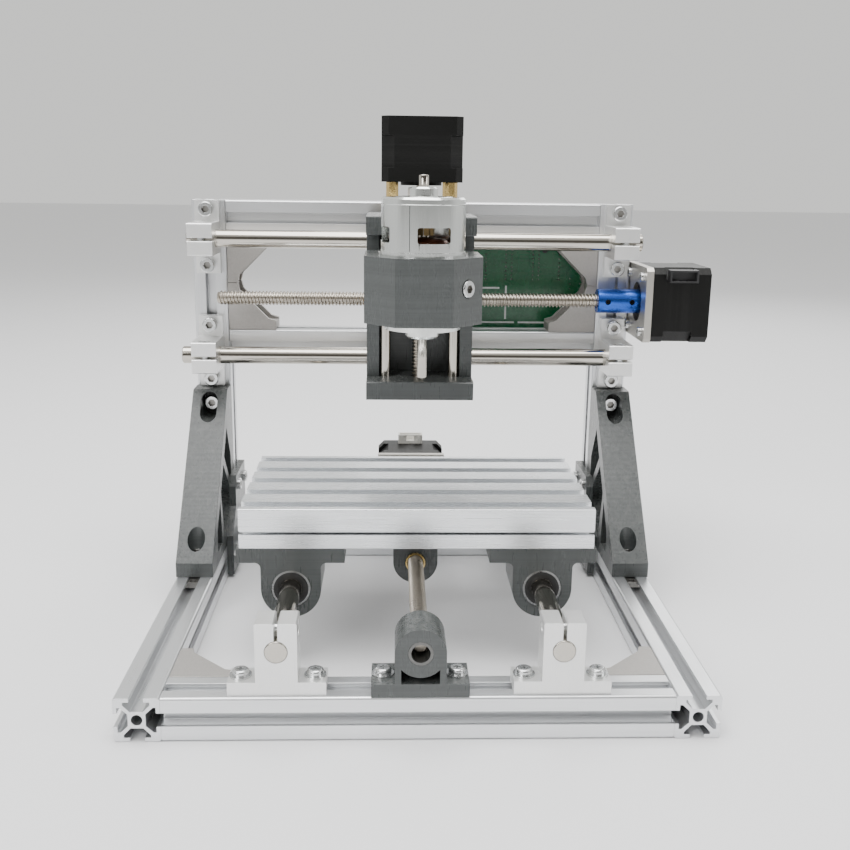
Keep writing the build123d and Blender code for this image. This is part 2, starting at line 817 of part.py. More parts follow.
with BuildPart() as board_sockets:
    for x in driver_spots:
        with BuildSketch(front_plane(board_back + 7)):
            with Locations((x, driver_z + 17)):
                Rectangle(12, 6)
        extrude(amount=7)
    with BuildSketch(front_plane(board_back + 11)):
        with Locations((board_right - 8, board_bottom + 20)):
            Rectangle(14, 9)
    extrude(amount=11)
    with BuildSketch(side_plane(board_right - 1)):
        with Locations((board_back + 5.5, board_bottom + 20)):
            Circle(3.2)
    extrude(amount=-12, mode=Mode.SUBTRACT)
    with BuildSketch(front_plane(board_back + 10)):
        with Locations((board_right - 7, board_bottom + 36)):
            Rectangle(10, 10.5)
    extrude(amount=10)
    with BuildSketch(side_plane(board_right - 2)):
        with Locations((board_back + 5, board_bottom + 36)):
            Rectangle(8, 8.4)
    extrude(amount=-8.5, mode=Mode.SUBTRACT)
    for z in (board_bottom + 50, board_bottom + 55.5):
        with BuildSketch(front_plane(board_back + 9)):
            with Locations((board_right - 7, z)):
                Rectangle(8, 5.5)
        extrude(amount=9)
    for x in driver_spots:
        with BuildSketch(front_plane(board_back + 11)):
            with Locations((x, driver_z - 17)):
                Circle(4)
        extrude(amount=11)
save(board_sockets, "board_sockets")

# Table: slotted bed, bearing holders, nut holder and their parts
bed_middle = bed_front + bed_depth / 2
bed_top = bed_bottom + bed_thick
with BuildPart() as bed:
    with BuildSketch(side_plane(-bed_width / 2)):
        with Locations((bed_middle, bed_bottom + bed_thick / 2)):
            RectangleRounded(bed_depth, bed_thick, 0.6)
        for number in range(-2, 3):
            y = bed_middle + number * bed_slot_pitch
            with Locations((y, bed_top - bed_slot_depth / 2)):
                Rectangle(bed_slot_opening, bed_slot_depth + 0.02, mode=Mode.SUBTRACT)
            with Locations((y, bed_top - bed_slot_depth + 2)):
                Rectangle(bed_slot_width, 4, mode=Mode.SUBTRACT)
            with Locations((y, bed_bottom + 5.6)):
                RectangleRounded(bed_slot_width, 6, 0.8, mode=Mode.SUBTRACT)
        for y in (bed_front, bed_front + bed_depth):
            with Locations((y, bed_bottom + 8.1)):
                Rectangle(4, 2, mode=Mode.SUBTRACT)
        for number in (-1.5, -0.5, 0.5, 1.5):
            with Locations((bed_middle + number * bed_slot_pitch, bed_bottom + 11.5)):
                Rectangle(4.4, 9, mode=Mode.SUBTRACT)
    extrude(amount=bed_width)
save(bed, "bed")

holder_fronts = [bed_front, bed_front + bed_depth - holder_depth]
flange_low = bed_bottom - holder_flange_thick
with BuildPart() as bearing_holders:
    for x in (-y_rod_spacing / 2, y_rod_spacing / 2):
        for y in holder_fronts:
            with BuildSketch(front_plane(y + holder_depth)):
                with Locations((x, flange_low + holder_flange_thick / 2)):
                    Rectangle(holder_flange_width, holder_flange_thick)
                with Locations((x, (rod_axis_z + flange_low) / 2)):
                    Rectangle(holder_body_width, flange_low - rod_axis_z)
                with Locations((x, rod_axis_z)):
                    Circle(holder_body_width / 2)
                    Circle(bearing_diameter / 2, mode=Mode.SUBTRACT)
            extrude(amount=holder_depth)
            with Locations(*[place(x + side, y + holder_depth / 2, bed_bottom) for side in (-21, 21)]):
                Hole(2.1, depth=holder_flange_thick)
    long_edges = bearing_holders.edges().filter_by(Axis.Y)
    concave = long_edges.filter_by_position(Axis.Z, flange_low - 0.1, flange_low + 0.1)
    reach = holder_body_width / 2 + 0.2
    inner = [edge for edge in concave if abs(abs(edge.center().X + shift_x) - y_rod_spacing / 2) < reach]
    fillet(inner, 2.8)
save(bearing_holders, "bearing_holders")

blank = linear_bearing()
with BuildPart() as table_bearings:
    for x in (-y_rod_spacing / 2, y_rod_spacing / 2):
        for y in holder_fronts:
            with Locations(place(x, y + holder_depth / 2, rod_axis_z, back)):
                add(blank)
save(table_bearings, "table_bearings")

nut_holder_back = nut_holder_front + nut_holder_depth
with BuildPart() as nut_holder:
    with BuildSketch(front_plane(nut_holder_back)):
        with Locations((0, bed_bottom - holder_flange_thick / 2)):
            Rectangle(44, holder_flange_thick)
        with Locations((0, (rod_axis_z + bed_bottom) / 2)):
            Rectangle(nut_holder_width, bed_bottom - rod_axis_z)
        with Locations((0, rod_axis_z)):
            Circle(nut_holder_width / 2)
            Circle(nut_body / 2 + fit, mode=Mode.SUBTRACT)
    extrude(amount=nut_holder_depth)
    with Locations(*[place(x, nut_holder_front + nut_holder_depth / 2, bed_bottom) for x in (-17, 17)]):
        Hole(2.1, depth=holder_flange_thick)
save(nut_holder, "nut_holder")

with BuildPart() as y_nut:
    with Locations(place(0, nut_holder_back, rod_axis_z, back)):
        add(flanged_nut(nut_holder_depth + 1.5))
save(y_nut, "y_nut")

holder_screw = socket_screw(4, 6.5, 3.4)
with BuildPart() as holder_bolts:
    for x in (-y_rod_spacing / 2, y_rod_spacing / 2):
        for y in holder_fronts:
            for side in (-21, 21):
                with Locations(place(x + side, y + holder_depth / 2, flange_low, down)):
                    add(holder_screw)
    for side in (-17, 17):
        with Locations(place(side, nut_holder_front + nut_holder_depth / 2, flange_low, down)):
            add(holder_screw)
save(holder_bolts, "holder_bolts")

# Turning lead screws with their motor shafts and couplings
x_coupling_end = x_coupling_start + coupling_length
with BuildPart() as x_screw:
    with BuildSketch(side_plane(x_screw_start)):
        with Locations((rod_axis_y, x_screw_z)):
            Circle(screw_diameter / 2)
    extrude(amount=x_coupling_start + coupling_length / 2 - x_screw_start)
    with BuildSketch(side_plane(x_coupling_start + coupling_length / 2)):
        with Locations((rod_axis_y, x_screw_z)):
            Circle(motor_shaft / 2)
    extrude(amount=motor_face_x + 8 - x_coupling_start - coupling_length / 2)
save(x_screw, "x_screw")

with BuildPart() as x_coupling:
    with Locations(place(x_coupling_start, rod_axis_y, x_screw_z, right, forward)):
        add(shaft_coupling(coupling_length, screw_diameter, motor_shaft))
save(x_coupling, "x_coupling")

with BuildPart() as y_screw:
    with BuildSketch(front_plane(y_coupling_start + coupling_length / 2)):
        with Locations((0, rod_axis_z)):
            Circle(screw_diameter / 2)
    extrude(amount=y_coupling_start + coupling_length / 2 - y_screw_start)
    with BuildSketch(front_plane(motor_face_y + 8)):
        with Locations((0, rod_axis_z)):
            Circle(motor_shaft / 2)
    extrude(amount=motor_face_y + 8 - y_coupling_start - coupling_length / 2)
save(y_screw, "y_screw")

with BuildPart() as y_coupling:
    with Locations(place(0, y_coupling_start, rod_axis_z, back)):
        add(shaft_coupling(coupling_length, screw_diameter, motor_shaft))
save(y_coupling, "y_coupling")

# Carriage: rear block, side walls, top and bottom plates
wall_width = carriage_width / 2 - bay_half
with BuildPart() as carriage:
    with BuildSketch(top_plane(carriage_bottom)):
        with Locations((carriage_x, (carriage_back_front + carriage_rear) / 2)):
            Rectangle(carriage_width, carriage_rear - carriage_back_front)
        for side in (-1, 1):
            wall_x = carriage_x + side * (bay_half + wall_width / 2)
            with Locations((wall_x, (carriage_wall_front + carriage_back_front) / 2)):
                Rectangle(wall_width, carriage_back_front - carriage_wall_front + 0.02)
    extrude(amount=carriage_top - carriage_bottom)
    for z in (carriage_bottom, carriage_top - carriage_plate):
        with BuildSketch(top_plane(z)):
            with Locations((carriage_x, (carriage_front + carriage_rear) / 2)):
                Rectangle(carriage_width, carriage_rear - carriage_front)
        extrude(amount=carriage_plate)
    chamfer(carriage.edges().filter_by(Axis.X).group_by(Axis.Y)[0], 0.6)
    for z in (upper_rod_z, lower_rod_z):
        with BuildSketch(side_plane(carriage_x - carriage_width / 2)):
            with Locations((rod_axis_y, z)):
                Circle(bearing_diameter / 2)
        extrude(amount=carriage_width, mode=Mode.SUBTRACT)
    with BuildSketch(side_plane(carriage_x - carriage_width / 2)):
        with Locations((rod_axis_y, x_screw_z)):
            Circle(nut_body / 2 + fit)
    extrude(amount=carriage_width, mode=Mode.SUBTRACT)
    with BuildSketch(side_plane(carriage_x - carriage_width / 2)):
        with Locations((rod_axis_y, x_screw_z)):
            Circle(nut_flange / 2 + 0.2)
    extrude(amount=nut_flange_thick, mode=Mode.SUBTRACT)
    with BuildSketch(top_plane(carriage_top)):
        with Locations((carriage_x, z_axis_y)):
            Circle(coupling_diameter / 2 + 1)
    extrude(amount=-carriage_plate, mode=Mode.SUBTRACT)
    with BuildSketch(top_plane(carriage_bottom + 3)):
        with Locations((carriage_x, z_axis_y)):
            Circle(screw_diameter / 2 + 0.4)
    extrude(amount=carriage_plate, mode=Mode.SUBTRACT)
    with BuildSketch(top_plane(carriage_bottom + 2)):
        for side in (-1, 1):
            with Locations((carriage_x + side * z_rod_spacing / 2, z_axis_y)):
                Circle(z_rod_diameter / 2)
    extrude(amount=carriage_top - carriage_bottom - 4, mode=Mode.SUBTRACT)
save(carriage, "carriage")

blank = linear_bearing()
with BuildPart() as x_bearings:
    for side in (-1, 1):
        for z in (upper_rod_z, lower_rod_z):
            bearing_x = carriage_x + side * (bearing_length + bearing_gap) / 2
            with Locations(place(bearing_x, rod_axis_y, z, right, up)):
                add(blank)
save(x_bearings, "x_bearings")

with BuildPart() as x_nut:
    nut_x = carriage_x - carriage_width / 2 + nut_flange_thick
    with Locations(place(nut_x, rod_axis_y, x_screw_z, left, up)):
        add(flanged_nut(14))
save(x_nut, "x_nut")

with BuildPart() as z_rods:
    with BuildSketch(top_plane(carriage_bottom + 2)):
        for side in (-1, 1):
            with Locations((carriage_x + side * z_rod_spacing / 2, z_axis_y)):
                Circle(z_rod_diameter / 2)
    extrude(amount=carriage_top - carriage_bottom - 4)
save(z_rods, "z_rods")

with BuildPart() as standoffs:
    with BuildSketch(top_plane(carriage_top)):
        with Locations((carriage_x, z_axis_y)):
            with GridLocations(motor_hole_pitch, motor_hole_pitch, 2, 2):
                RegularPolygon(standoff_flats / 2, 6, major_radius=False)
    extrude(amount=standoff_length)
save(standoffs, "standoffs")

with BuildPart() as z_motor:
    with Locations(place(carriage_x, z_axis_y, z_motor_bottom, down)):
        add(stepper_motor())
save(z_motor, "z_motor")

with BuildPart() as z_motor_socket:
    with Locations(place(carriage_x, z_axis_y + half, z_motor_bottom + motor_length - 6, back)):
        add(socket_blank)
save(z_motor_socket, "z_motor_socket")

with BuildPart() as z_screw:
    with BuildSketch(top_plane(carriage_bottom + 3.2)):
        with Locations((carriage_x, z_axis_y)):
            Circle(screw_diameter / 2)
    extrude(amount=z_coupling_bottom + z_coupling_length / 2 - carriage_bottom - 3.2)
    with BuildSketch(top_plane(z_coupling_bottom + z_coupling_length / 2)):
        with Locations((carriage_x, z_axis_y)):
            Circle(motor_shaft / 2)
    extrude(amount=z_motor_bottom + 8 - z_coupling_bottom - z_coupling_length / 2)
save(z_screw, "z_screw")

with BuildPart() as z_coupling:
    with Locations(place(carriage_x, z_axis_y, z_coupling_bottom)):
        add(shaft_coupling(z_coupling_length, screw_diameter, motor_shaft))
save(z_coupling, "z_coupling")

# Spindle holder: clamp round the motor at the front, sliding block on the Z rods at the back
slider_top = slider_bottom + slider_height
clamp_half = carriage_width / 2
clamp_outline = [
    (carriage_x - 14, holder_front),
    (carriage_x + 14, holder_front),
    (carriage_x + clamp_half, holder_front + 16),
    (carriage_x + clamp_half, carriage_front - 6),
    (carriage_x + slider_block_half, carriage_front - 4),
    (carriage_x + slider_block_half, z_axis_y + 11),
    (carriage_x - slider_block_half, z_axis_y + 11),
    (carriage_x - slider_block_half, carriage_front - 4),
    (carriage_x - clamp_half, carriage_front - 6),
    (carriage_x - clamp_half, holder_front + 16),
]
with BuildPart() as spindle_holder:
    with BuildSketch(top_plane(slider_bottom)):
        Polygon(*clamp_outline, align=None)
        with Locations((carriage_x, spindle_y)):
            Circle(ring_diameter / 2, mode=Mode.SUBTRACT)
        with Locations((carriage_x, z_axis_y)):
            Circle(screw_diameter / 2 + 0.3, mode=Mode.SUBTRACT)
        for side in (-1, 1):
            with Locations((carriage_x + side * z_rod_spacing / 2, z_axis_y)):
                Circle(z_rod_diameter / 2 + fit, mode=Mode.SUBTRACT)
    extrude(amount=slider_height)
    with Locations(clamp_screw_place):
        CounterBoreHole(radius=2.6, counter_bore_radius=4.6, counter_bore_depth=2.5, depth=9)
save(spindle_holder, "spindle_holder")

with BuildPart() as spindle_clamp_screw:
    with Locations(clamp_screw_place * Location((0, 0, -2.5))):
        add(socket_screw(5, 3.5, 3.6))
save(spindle_clamp_screw, "spindle_clamp_screw")

# Spindle motor: can with four windows, flux ring, end bosses
can_top = can_bottom + can_length
ring_top = slider_top + ring_rise
with BuildPart() as spindle_can:
    with BuildSketch(top_plane(can_bottom + 3)):
        with Locations((carriage_x, spindle_y)):
            Circle(can_diameter / 2)
    extrude(amount=can_length - 3)
    with BuildSketch(top_plane(can_bottom)):
        with Locations((carriage_x, spindle_y)):
            Circle(nose_diameter / 2)
    extrude(amount=3)
    chamfer(spindle_can.edges().group_by(Axis.Z)[-1], 1)
    with BuildSketch(top_plane(can_bottom + can_wall)):
        with Locations((carriage_x, spindle_y)):
            Circle(nose_diameter / 2 - can_wall)
    extrude(amount=can_length - 2 * can_wall, mode=Mode.SUBTRACT)
    with BuildSketch(top_plane(can_top)):
        with Locations((carriage_x, spindle_y)):
            Circle(upper_boss_diameter / 2)
    extrude(amount=boss_high)
    chamfer(spindle_can.edges().group_by(Axis.Z)[-1], 0.8)
    with BuildSketch(top_plane(can_bottom)):
        with Locations((carriage_x, spindle_y)):
            Circle(lower_boss_diameter / 2)
    extrude(amount=-boss_high)
    chamfer(spindle_can.edges().group_by(Axis.Z)[0], 1.2)
    with BuildSketch(top_plane(can_bottom - boss_high)):
        with Locations((carriage_x, spindle_y)):
            Circle(spindle_journal / 2 + fit)
    extrude(amount=can_length + 2 * boss_high, mode=Mode.SUBTRACT)
    for turn in window_turns:
        facing = Vector(forward).rotate(Axis.Z, turn)
        across = Vector(right).rotate(Axis.Z, turn)
        with BuildSketch(Plane(place(carriage_x, spindle_y, 0, facing, across))):
            with Locations((0, window_z)):
                RectangleRounded(window_wide, window_high, 1.2)
        extrude(amount=can_diameter, mode=Mode.SUBTRACT)
    with BuildSketch(top_plane(slider_bottom + 2)):
        with Locations((carriage_x, spindle_y)):
            Circle(ring_diameter / 2)
            Circle(can_diameter / 2 - 0.2, mode=Mode.SUBTRACT)
    extrude(amount=ring_top - slider_bottom - 2)
save(spindle_can, "spindle_can")

with BuildPart() as spindle_shaft_piece:
    with BuildSketch(top_plane(spindle_shaft_bottom)):
        with Locations((carriage_x, spindle_y)):
            Circle(spindle_shaft / 2)
    extrude(amount=spindle_shaft_top - spindle_shaft_bottom)
    chamfer(spindle_shaft_piece.edges().filter_by(GeomType.CIRCLE), 0.5)
    with BuildSketch(top_plane(can_bottom - boss_high - 0.6)):
        with Locations((carriage_x, spindle_y)):
            Circle(spindle_journal / 2)
    extrude(amount=can_length + boss_high + 0.6)
    with BuildSketch(top_plane(spindle_shaft_bottom)):
        with Locations((carriage_x, spindle_y - spindle_shaft)):
            Rectangle(spindle_shaft, spindle_shaft + 1)
    extrude(amount=spindle_flat, mode=Mode.SUBTRACT)
save(spindle_shaft_piece, "spindle_shaft")

with BuildPart() as armature:
    with BuildSketch(top_plane(can_bottom + 12)):
        with Locations((carriage_x, spindle_y)):
            Circle(15)
            Circle(spindle_journal / 2, mode=Mode.SUBTRACT)
            with PolarLocations(14.5, 5):
                Rectangle(9, 2.6, mode=Mode.SUBTRACT)
    extrude(amount=34)
    with BuildSketch(top_plane(can_bottom + 46)):
        with Locations((carriage_x, spindle_y)):
            Circle(8)
            Circle(spindle_journal / 2, mode=Mode.SUBTRACT)
    extrude(amount=9)
save(armature, "armature")
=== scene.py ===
import json
import math
import random

import bmesh
import bpy
from mathutils import Matrix, Vector


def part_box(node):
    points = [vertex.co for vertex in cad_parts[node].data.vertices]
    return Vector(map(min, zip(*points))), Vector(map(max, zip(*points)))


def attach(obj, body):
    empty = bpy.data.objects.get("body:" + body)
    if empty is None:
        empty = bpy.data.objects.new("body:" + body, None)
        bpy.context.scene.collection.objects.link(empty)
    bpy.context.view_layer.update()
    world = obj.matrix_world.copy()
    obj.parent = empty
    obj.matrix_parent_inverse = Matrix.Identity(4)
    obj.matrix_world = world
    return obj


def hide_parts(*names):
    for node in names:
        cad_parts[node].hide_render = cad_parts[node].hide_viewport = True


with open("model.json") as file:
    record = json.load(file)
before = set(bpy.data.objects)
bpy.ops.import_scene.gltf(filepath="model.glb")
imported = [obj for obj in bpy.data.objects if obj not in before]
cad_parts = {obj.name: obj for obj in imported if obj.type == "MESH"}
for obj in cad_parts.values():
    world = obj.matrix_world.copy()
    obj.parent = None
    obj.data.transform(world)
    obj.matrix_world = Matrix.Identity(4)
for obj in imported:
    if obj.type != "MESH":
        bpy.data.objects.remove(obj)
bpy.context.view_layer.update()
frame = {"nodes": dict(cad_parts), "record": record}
mm = 0.001
nodeBody = {node: body for body, nodes in frame["record"]["behaviour"]["bodies"].items() for node in nodes}
print("frame loaded:", len(frame["nodes"]), "nodes")


def middle(node):
    low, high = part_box(node)
    return (low + high) / 2


# Shared effects, each a node group built once
def newGroup(name, inputs, outputs):
    group = bpy.data.node_groups.new(name, "ShaderNodeTree")
    for label, kind, value in inputs:
        socket = group.interface.new_socket(name=label, in_out="INPUT", socket_type=kind)
        socket.default_value = value
    for label, kind in outputs:
        group.interface.new_socket(name=label, in_out="OUTPUT", socket_type=kind)
    start = group.nodes.new("NodeGroupInput")
    end = group.nodes.new("NodeGroupOutput")
    return group, start, end


def mathNode(tree, operation, first=None, second=None, third=None):
    node = tree.nodes.new("ShaderNodeMath")
    node.operation = operation
    for index, value in enumerate((first, second, third)):
        if value is None:
            continue
        if isinstance(value, (int, float)):
            node.inputs[index].default_value = value
        else:
            tree.links.new(value, node.inputs[index])
    return node.outputs[0]


def mixColor(tree, factor, first, second):
    node = tree.nodes.new("ShaderNodeMix")
    node.data_type = "RGBA"
    for socket, value in ((node.inputs[0], factor), (node.inputs[6], first), (node.inputs[7], second)):
        if isinstance(value, (int, float, tuple)):
            socket.default_value = value
        else:
            tree.links.new(value, socket)
    return node.outputs[2]


def grainGroup():
    # Noise stretched along the working direction of a metal or plastic face
    group, start, end = newGroup(
        "surfaceGrain",
        [("Scale", "NodeSocketFloat", 300.0), ("Stretch", "NodeSocketVector", (1, 1, 1)),
         ("Rough Low", "NodeSocketFloat", 0.2), ("Rough High", "NodeSocketFloat", 0.4),
         ("Color", "NodeSocketColor", (0.8, 0.8, 0.8, 1)), ("Shade", "NodeSocketColor", (0.5, 0.5, 0.5, 1)),
         ("Shade Amount", "NodeSocketFloat", 0.2)],
        [("Color", "NodeSocketColor"), ("Roughness", "NodeSocketFloat"), ("Height", "NodeSocketFloat")])
    place = group.nodes.new("ShaderNodeTexCoord")
    stretch = group.nodes.new("ShaderNodeVectorMath")
    stretch.operation = "MULTIPLY"
    group.links.new(place.outputs["Object"], stretch.inputs[0])
    group.links.new(start.outputs["Stretch"], stretch.inputs[1])
    fine = group.nodes.new("ShaderNodeTexNoise")
    fine.inputs["Detail"].default_value = 5.0
    group.links.new(stretch.outputs[0], fine.inputs["Vector"])
    group.links.new(start.outputs["Scale"], fine.inputs["Scale"])
    broad = group.nodes.new("ShaderNodeTexNoise")
    broad.inputs["Scale"].default_value = 28.0
    broad.inputs["Detail"].default_value = 3.0
    group.links.new(place.outputs["Object"], broad.inputs["Vector"])
    both = mathNode(group, "ADD", mathNode(group, "MULTIPLY", fine.outputs["Fac"], 0.6),
                    mathNode(group, "MULTIPLY", broad.outputs["Fac"], 0.4))
    spread = group.nodes.new("ShaderNodeMapRange")
    spread.inputs["From Min"].default_value = 0.3
    spread.inputs["From Max"].default_value = 0.7
    group.links.new(both, spread.inputs["Value"])
    group.links.new(start.outputs["Rough Low"], spread.inputs["To Min"])
    group.links.new(start.outputs["Rough High"], spread.inputs["To Max"])
    share = group.nodes.new("ShaderNodeMapRange")
    share.inputs["From Min"].default_value = 0.35
    share.inputs["From Max"].default_value = 0.65
    group.links.new(both, share.inputs["Value"])
    amount = mathNode(group, "MULTIPLY", share.outputs[0], start.outputs["Shade Amount"])
    shaded = mixColor(group, amount, start.outputs["Color"], start.outputs["Shade"])
    group.links.new(shaded, end.inputs["Color"])
    group.links.new(spread.outputs[0], end.inputs["Roughness"])
    group.links.new(fine.outputs["Fac"], end.inputs["Height"])
    return group


def layerGroup():
    # Even lines across one direction: print layers, or the plates of a motor core
    group, start, end = newGroup(
        "layerLines",
        [("Axis", "NodeSocketVector", (0, 0, 1)), ("Pitch", "NodeSocketFloat", 0.0006),
         ("Start", "NodeSocketFloat", -1.0), ("End", "NodeSocketFloat", 1.0),
         ("Waver", "NodeSocketFloat", 0.0)],
        [("Height", "NodeSocketFloat"), ("Band", "NodeSocketFloat")])
    place = group.nodes.new("ShaderNodeTexCoord")
    reach = group.nodes.new("ShaderNodeVectorMath")
    reach.operation = "DOT_PRODUCT"
    group.links.new(place.outputs["Object"], reach.inputs[0])
    group.links.new(start.outputs["Axis"], reach.inputs[1])
    noise = group.nodes.new("ShaderNodeTexNoise")
    noise.inputs["Scale"].default_value = 60.0
    group.links.new(place.outputs["Object"], noise.inputs["Vector"])
    waver = mathNode(group, "MULTIPLY", noise.outputs["Fac"], start.outputs["Waver"])
    wavering = mathNode(group, "ADD", reach.outputs["Value"], waver)
    turns = mathNode(group, "DIVIDE", wavering, start.outputs["Pitch"])
    wave = mathNode(group, "SINE", mathNode(group, "MULTIPLY", turns, 2 * math.pi))
    inside = mathNode(group, "MULTIPLY",
                      mathNode(group, "GREATER_THAN", reach.outputs["Value"], start.outputs["Start"]),
                      mathNode(group, "LESS_THAN", reach.outputs["Value"], start.outputs["End"]))
    layer = group.nodes.new("ShaderNodeTexWhiteNoise")
    layer.noise_dimensions = "1D"
    group.links.new(mathNode(group, "FLOOR", turns), layer.inputs["W"])
    group.links.new(mathNode(group, "MULTIPLY", wave, inside), end.inputs["Height"])
    group.links.new(mathNode(group, "MULTIPLY", layer.outputs["Value"], inside), end.inputs["Band"])
    return group


def dustAndSheenGroup():
    # Pale specks on faces that look up: dust, and on the grey prints also a painted sheen on their tops
    group, start, end = newGroup(
        "lyingDustAndSheen",
        [("Color", "NodeSocketColor", (0.5, 0.5, 0.5, 1)),
         ("Dust And Sheen Color", "NodeSocketColor", (0.7, 0.68, 0.64, 1)), ("Amount", "NodeSocketFloat", 0.2)],
        [("Color", "NodeSocketColor")])
    place = group.nodes.new("ShaderNodeTexCoord")
    facing = group.nodes.new("ShaderNodeSeparateXYZ")
    group.links.new(group.nodes.new("ShaderNodeNewGeometry").outputs["Normal"], facing.inputs[0])
    speck = group.nodes.new("ShaderNodeTexNoise")
    speck.inputs["Scale"].default_value = 420.0
    speck.inputs["Detail"].default_value = 8.0
    group.links.new(place.outputs["Object"], speck.inputs["Vector"])
    upward = mathNode(group, "MAXIMUM", mathNode(group, "SUBTRACT", facing.outputs["Z"], 0.3), 0.0)
    specks = mathNode(group, "MAXIMUM", mathNode(group, "SUBTRACT", speck.outputs["Fac"], 0.42), 0.0)
    paleShare = mathNode(group, "MULTIPLY", mathNode(group, "MULTIPLY", upward, specks), 5.0)
    amount = mathNode(group, "MINIMUM", mathNode(group, "MULTIPLY", paleShare, start.outputs["Amount"]), 0.9)
    paled = mixColor(group, amount, start.outputs["Color"], start.outputs["Dust And Sheen Color"])
    group.links.new(paled, end.inputs["Color"])
    return group


shared = {"grain": grainGroup(), "layers": layerGroup(), "dustAndSheen": dustAndSheenGroup()}
print("shared effects built")


def placeGroup(tree, which, **values):
    node = tree.nodes.new("ShaderNodeGroup")
    node.node_tree = shared[which]
    for label, value in values.items():
        socket = node.inputs[label.replace("_", " ")]
        if isinstance(value, bpy.types.NodeSocket):
            tree.links.new(value, socket)
        else:
            socket.default_value = value
    return node


def finishMaterial(name, values):
    # One surface: grain drives colour and roughness, lines and grain drive the bump, pale dust and painted
    # sheen lie on top
    material = bpy.data.materials.new(name)
    material.use_nodes = True
    tree = material.node_tree
    shader = tree.nodes["Principled BSDF"]
    color = (*values["color"], 1)
    shade = (*values.get("shade", [part * 0.6 for part in values["color"]]), 1)
    rough = values["rough"]
    grain = placeGroup(tree, "grain", Scale=values.get("scale", 300.0),
                       Stretch=values.get("stretch", (1, 1, 1)), Rough_Low=rough[0], Rough_High=rough[1],
                       Color=color, Shade=shade, Shade_Amount=values.get("shadeAmount", 0.25))
    shown = grain.outputs["Color"]
    height = mathNode(tree, "MULTIPLY", grain.outputs["Height"], values.get("grainHigh", 0.3))
    if "lines" in values:
        lines = placeGroup(tree, "layers", **values["lines"])
        lineHeight = mathNode(tree, "MULTIPLY", lines.outputs["Height"], values["lineHigh"])
        height = mathNode(tree, "ADD", height, lineHeight)
        share = mathNode(tree, "MULTIPLY", lines.outputs["Band"], values.get("bandAmount", 0.0))
        shown = mixColor(tree, share, shown, (*values.get("bandColor", (1, 1, 1)), 1))
    dustAndSheen = placeGroup(tree, "dustAndSheen", Color=shown, Amount=values.get("dustAndSheen", 0.05))
    tree.links.new(dustAndSheen.outputs["Color"], shader.inputs["Base Color"])
    tree.links.new(grain.outputs["Roughness"], shader.inputs["Roughness"])
    bump = tree.nodes.new("ShaderNodeBump")
    bump.inputs["Strength"].default_value = values.get("bump", 0.2)
    bump.inputs["Distance"].default_value = values.get("bumpDistance", 0.0001)
    tree.links.new(height, bump.inputs["Height"])
    tree.links.new(bump.outputs["Normal"], shader.inputs["Normal"])
    shader.inputs["Metallic"].default_value = values.get("metal", 0.0)
    shader.inputs["Coat Weight"].default_value = values.get("coat", 0.0)
    shader.inputs["Specular IOR Level"].default_value = values.get("specular", 0.5)
    return material


along = {"x": (0.02, 1, 1), "y": (1, 0.02, 1), "z": (1, 1, 0.02)}
anodised = {"color": (0.78, 0.79, 0.80), "shade": (0.66, 0.67, 0.69), "rough": (0.26, 0.40), "metal": 0.92,
            "scale": 1500.0, "bump": 0.08, "shadeAmount": 0.35, "dustAndSheen": 0.04}
printLines = {"Axis": (0, 0, 1), "Pitch": 0.0006, "Waver": 0.0001}
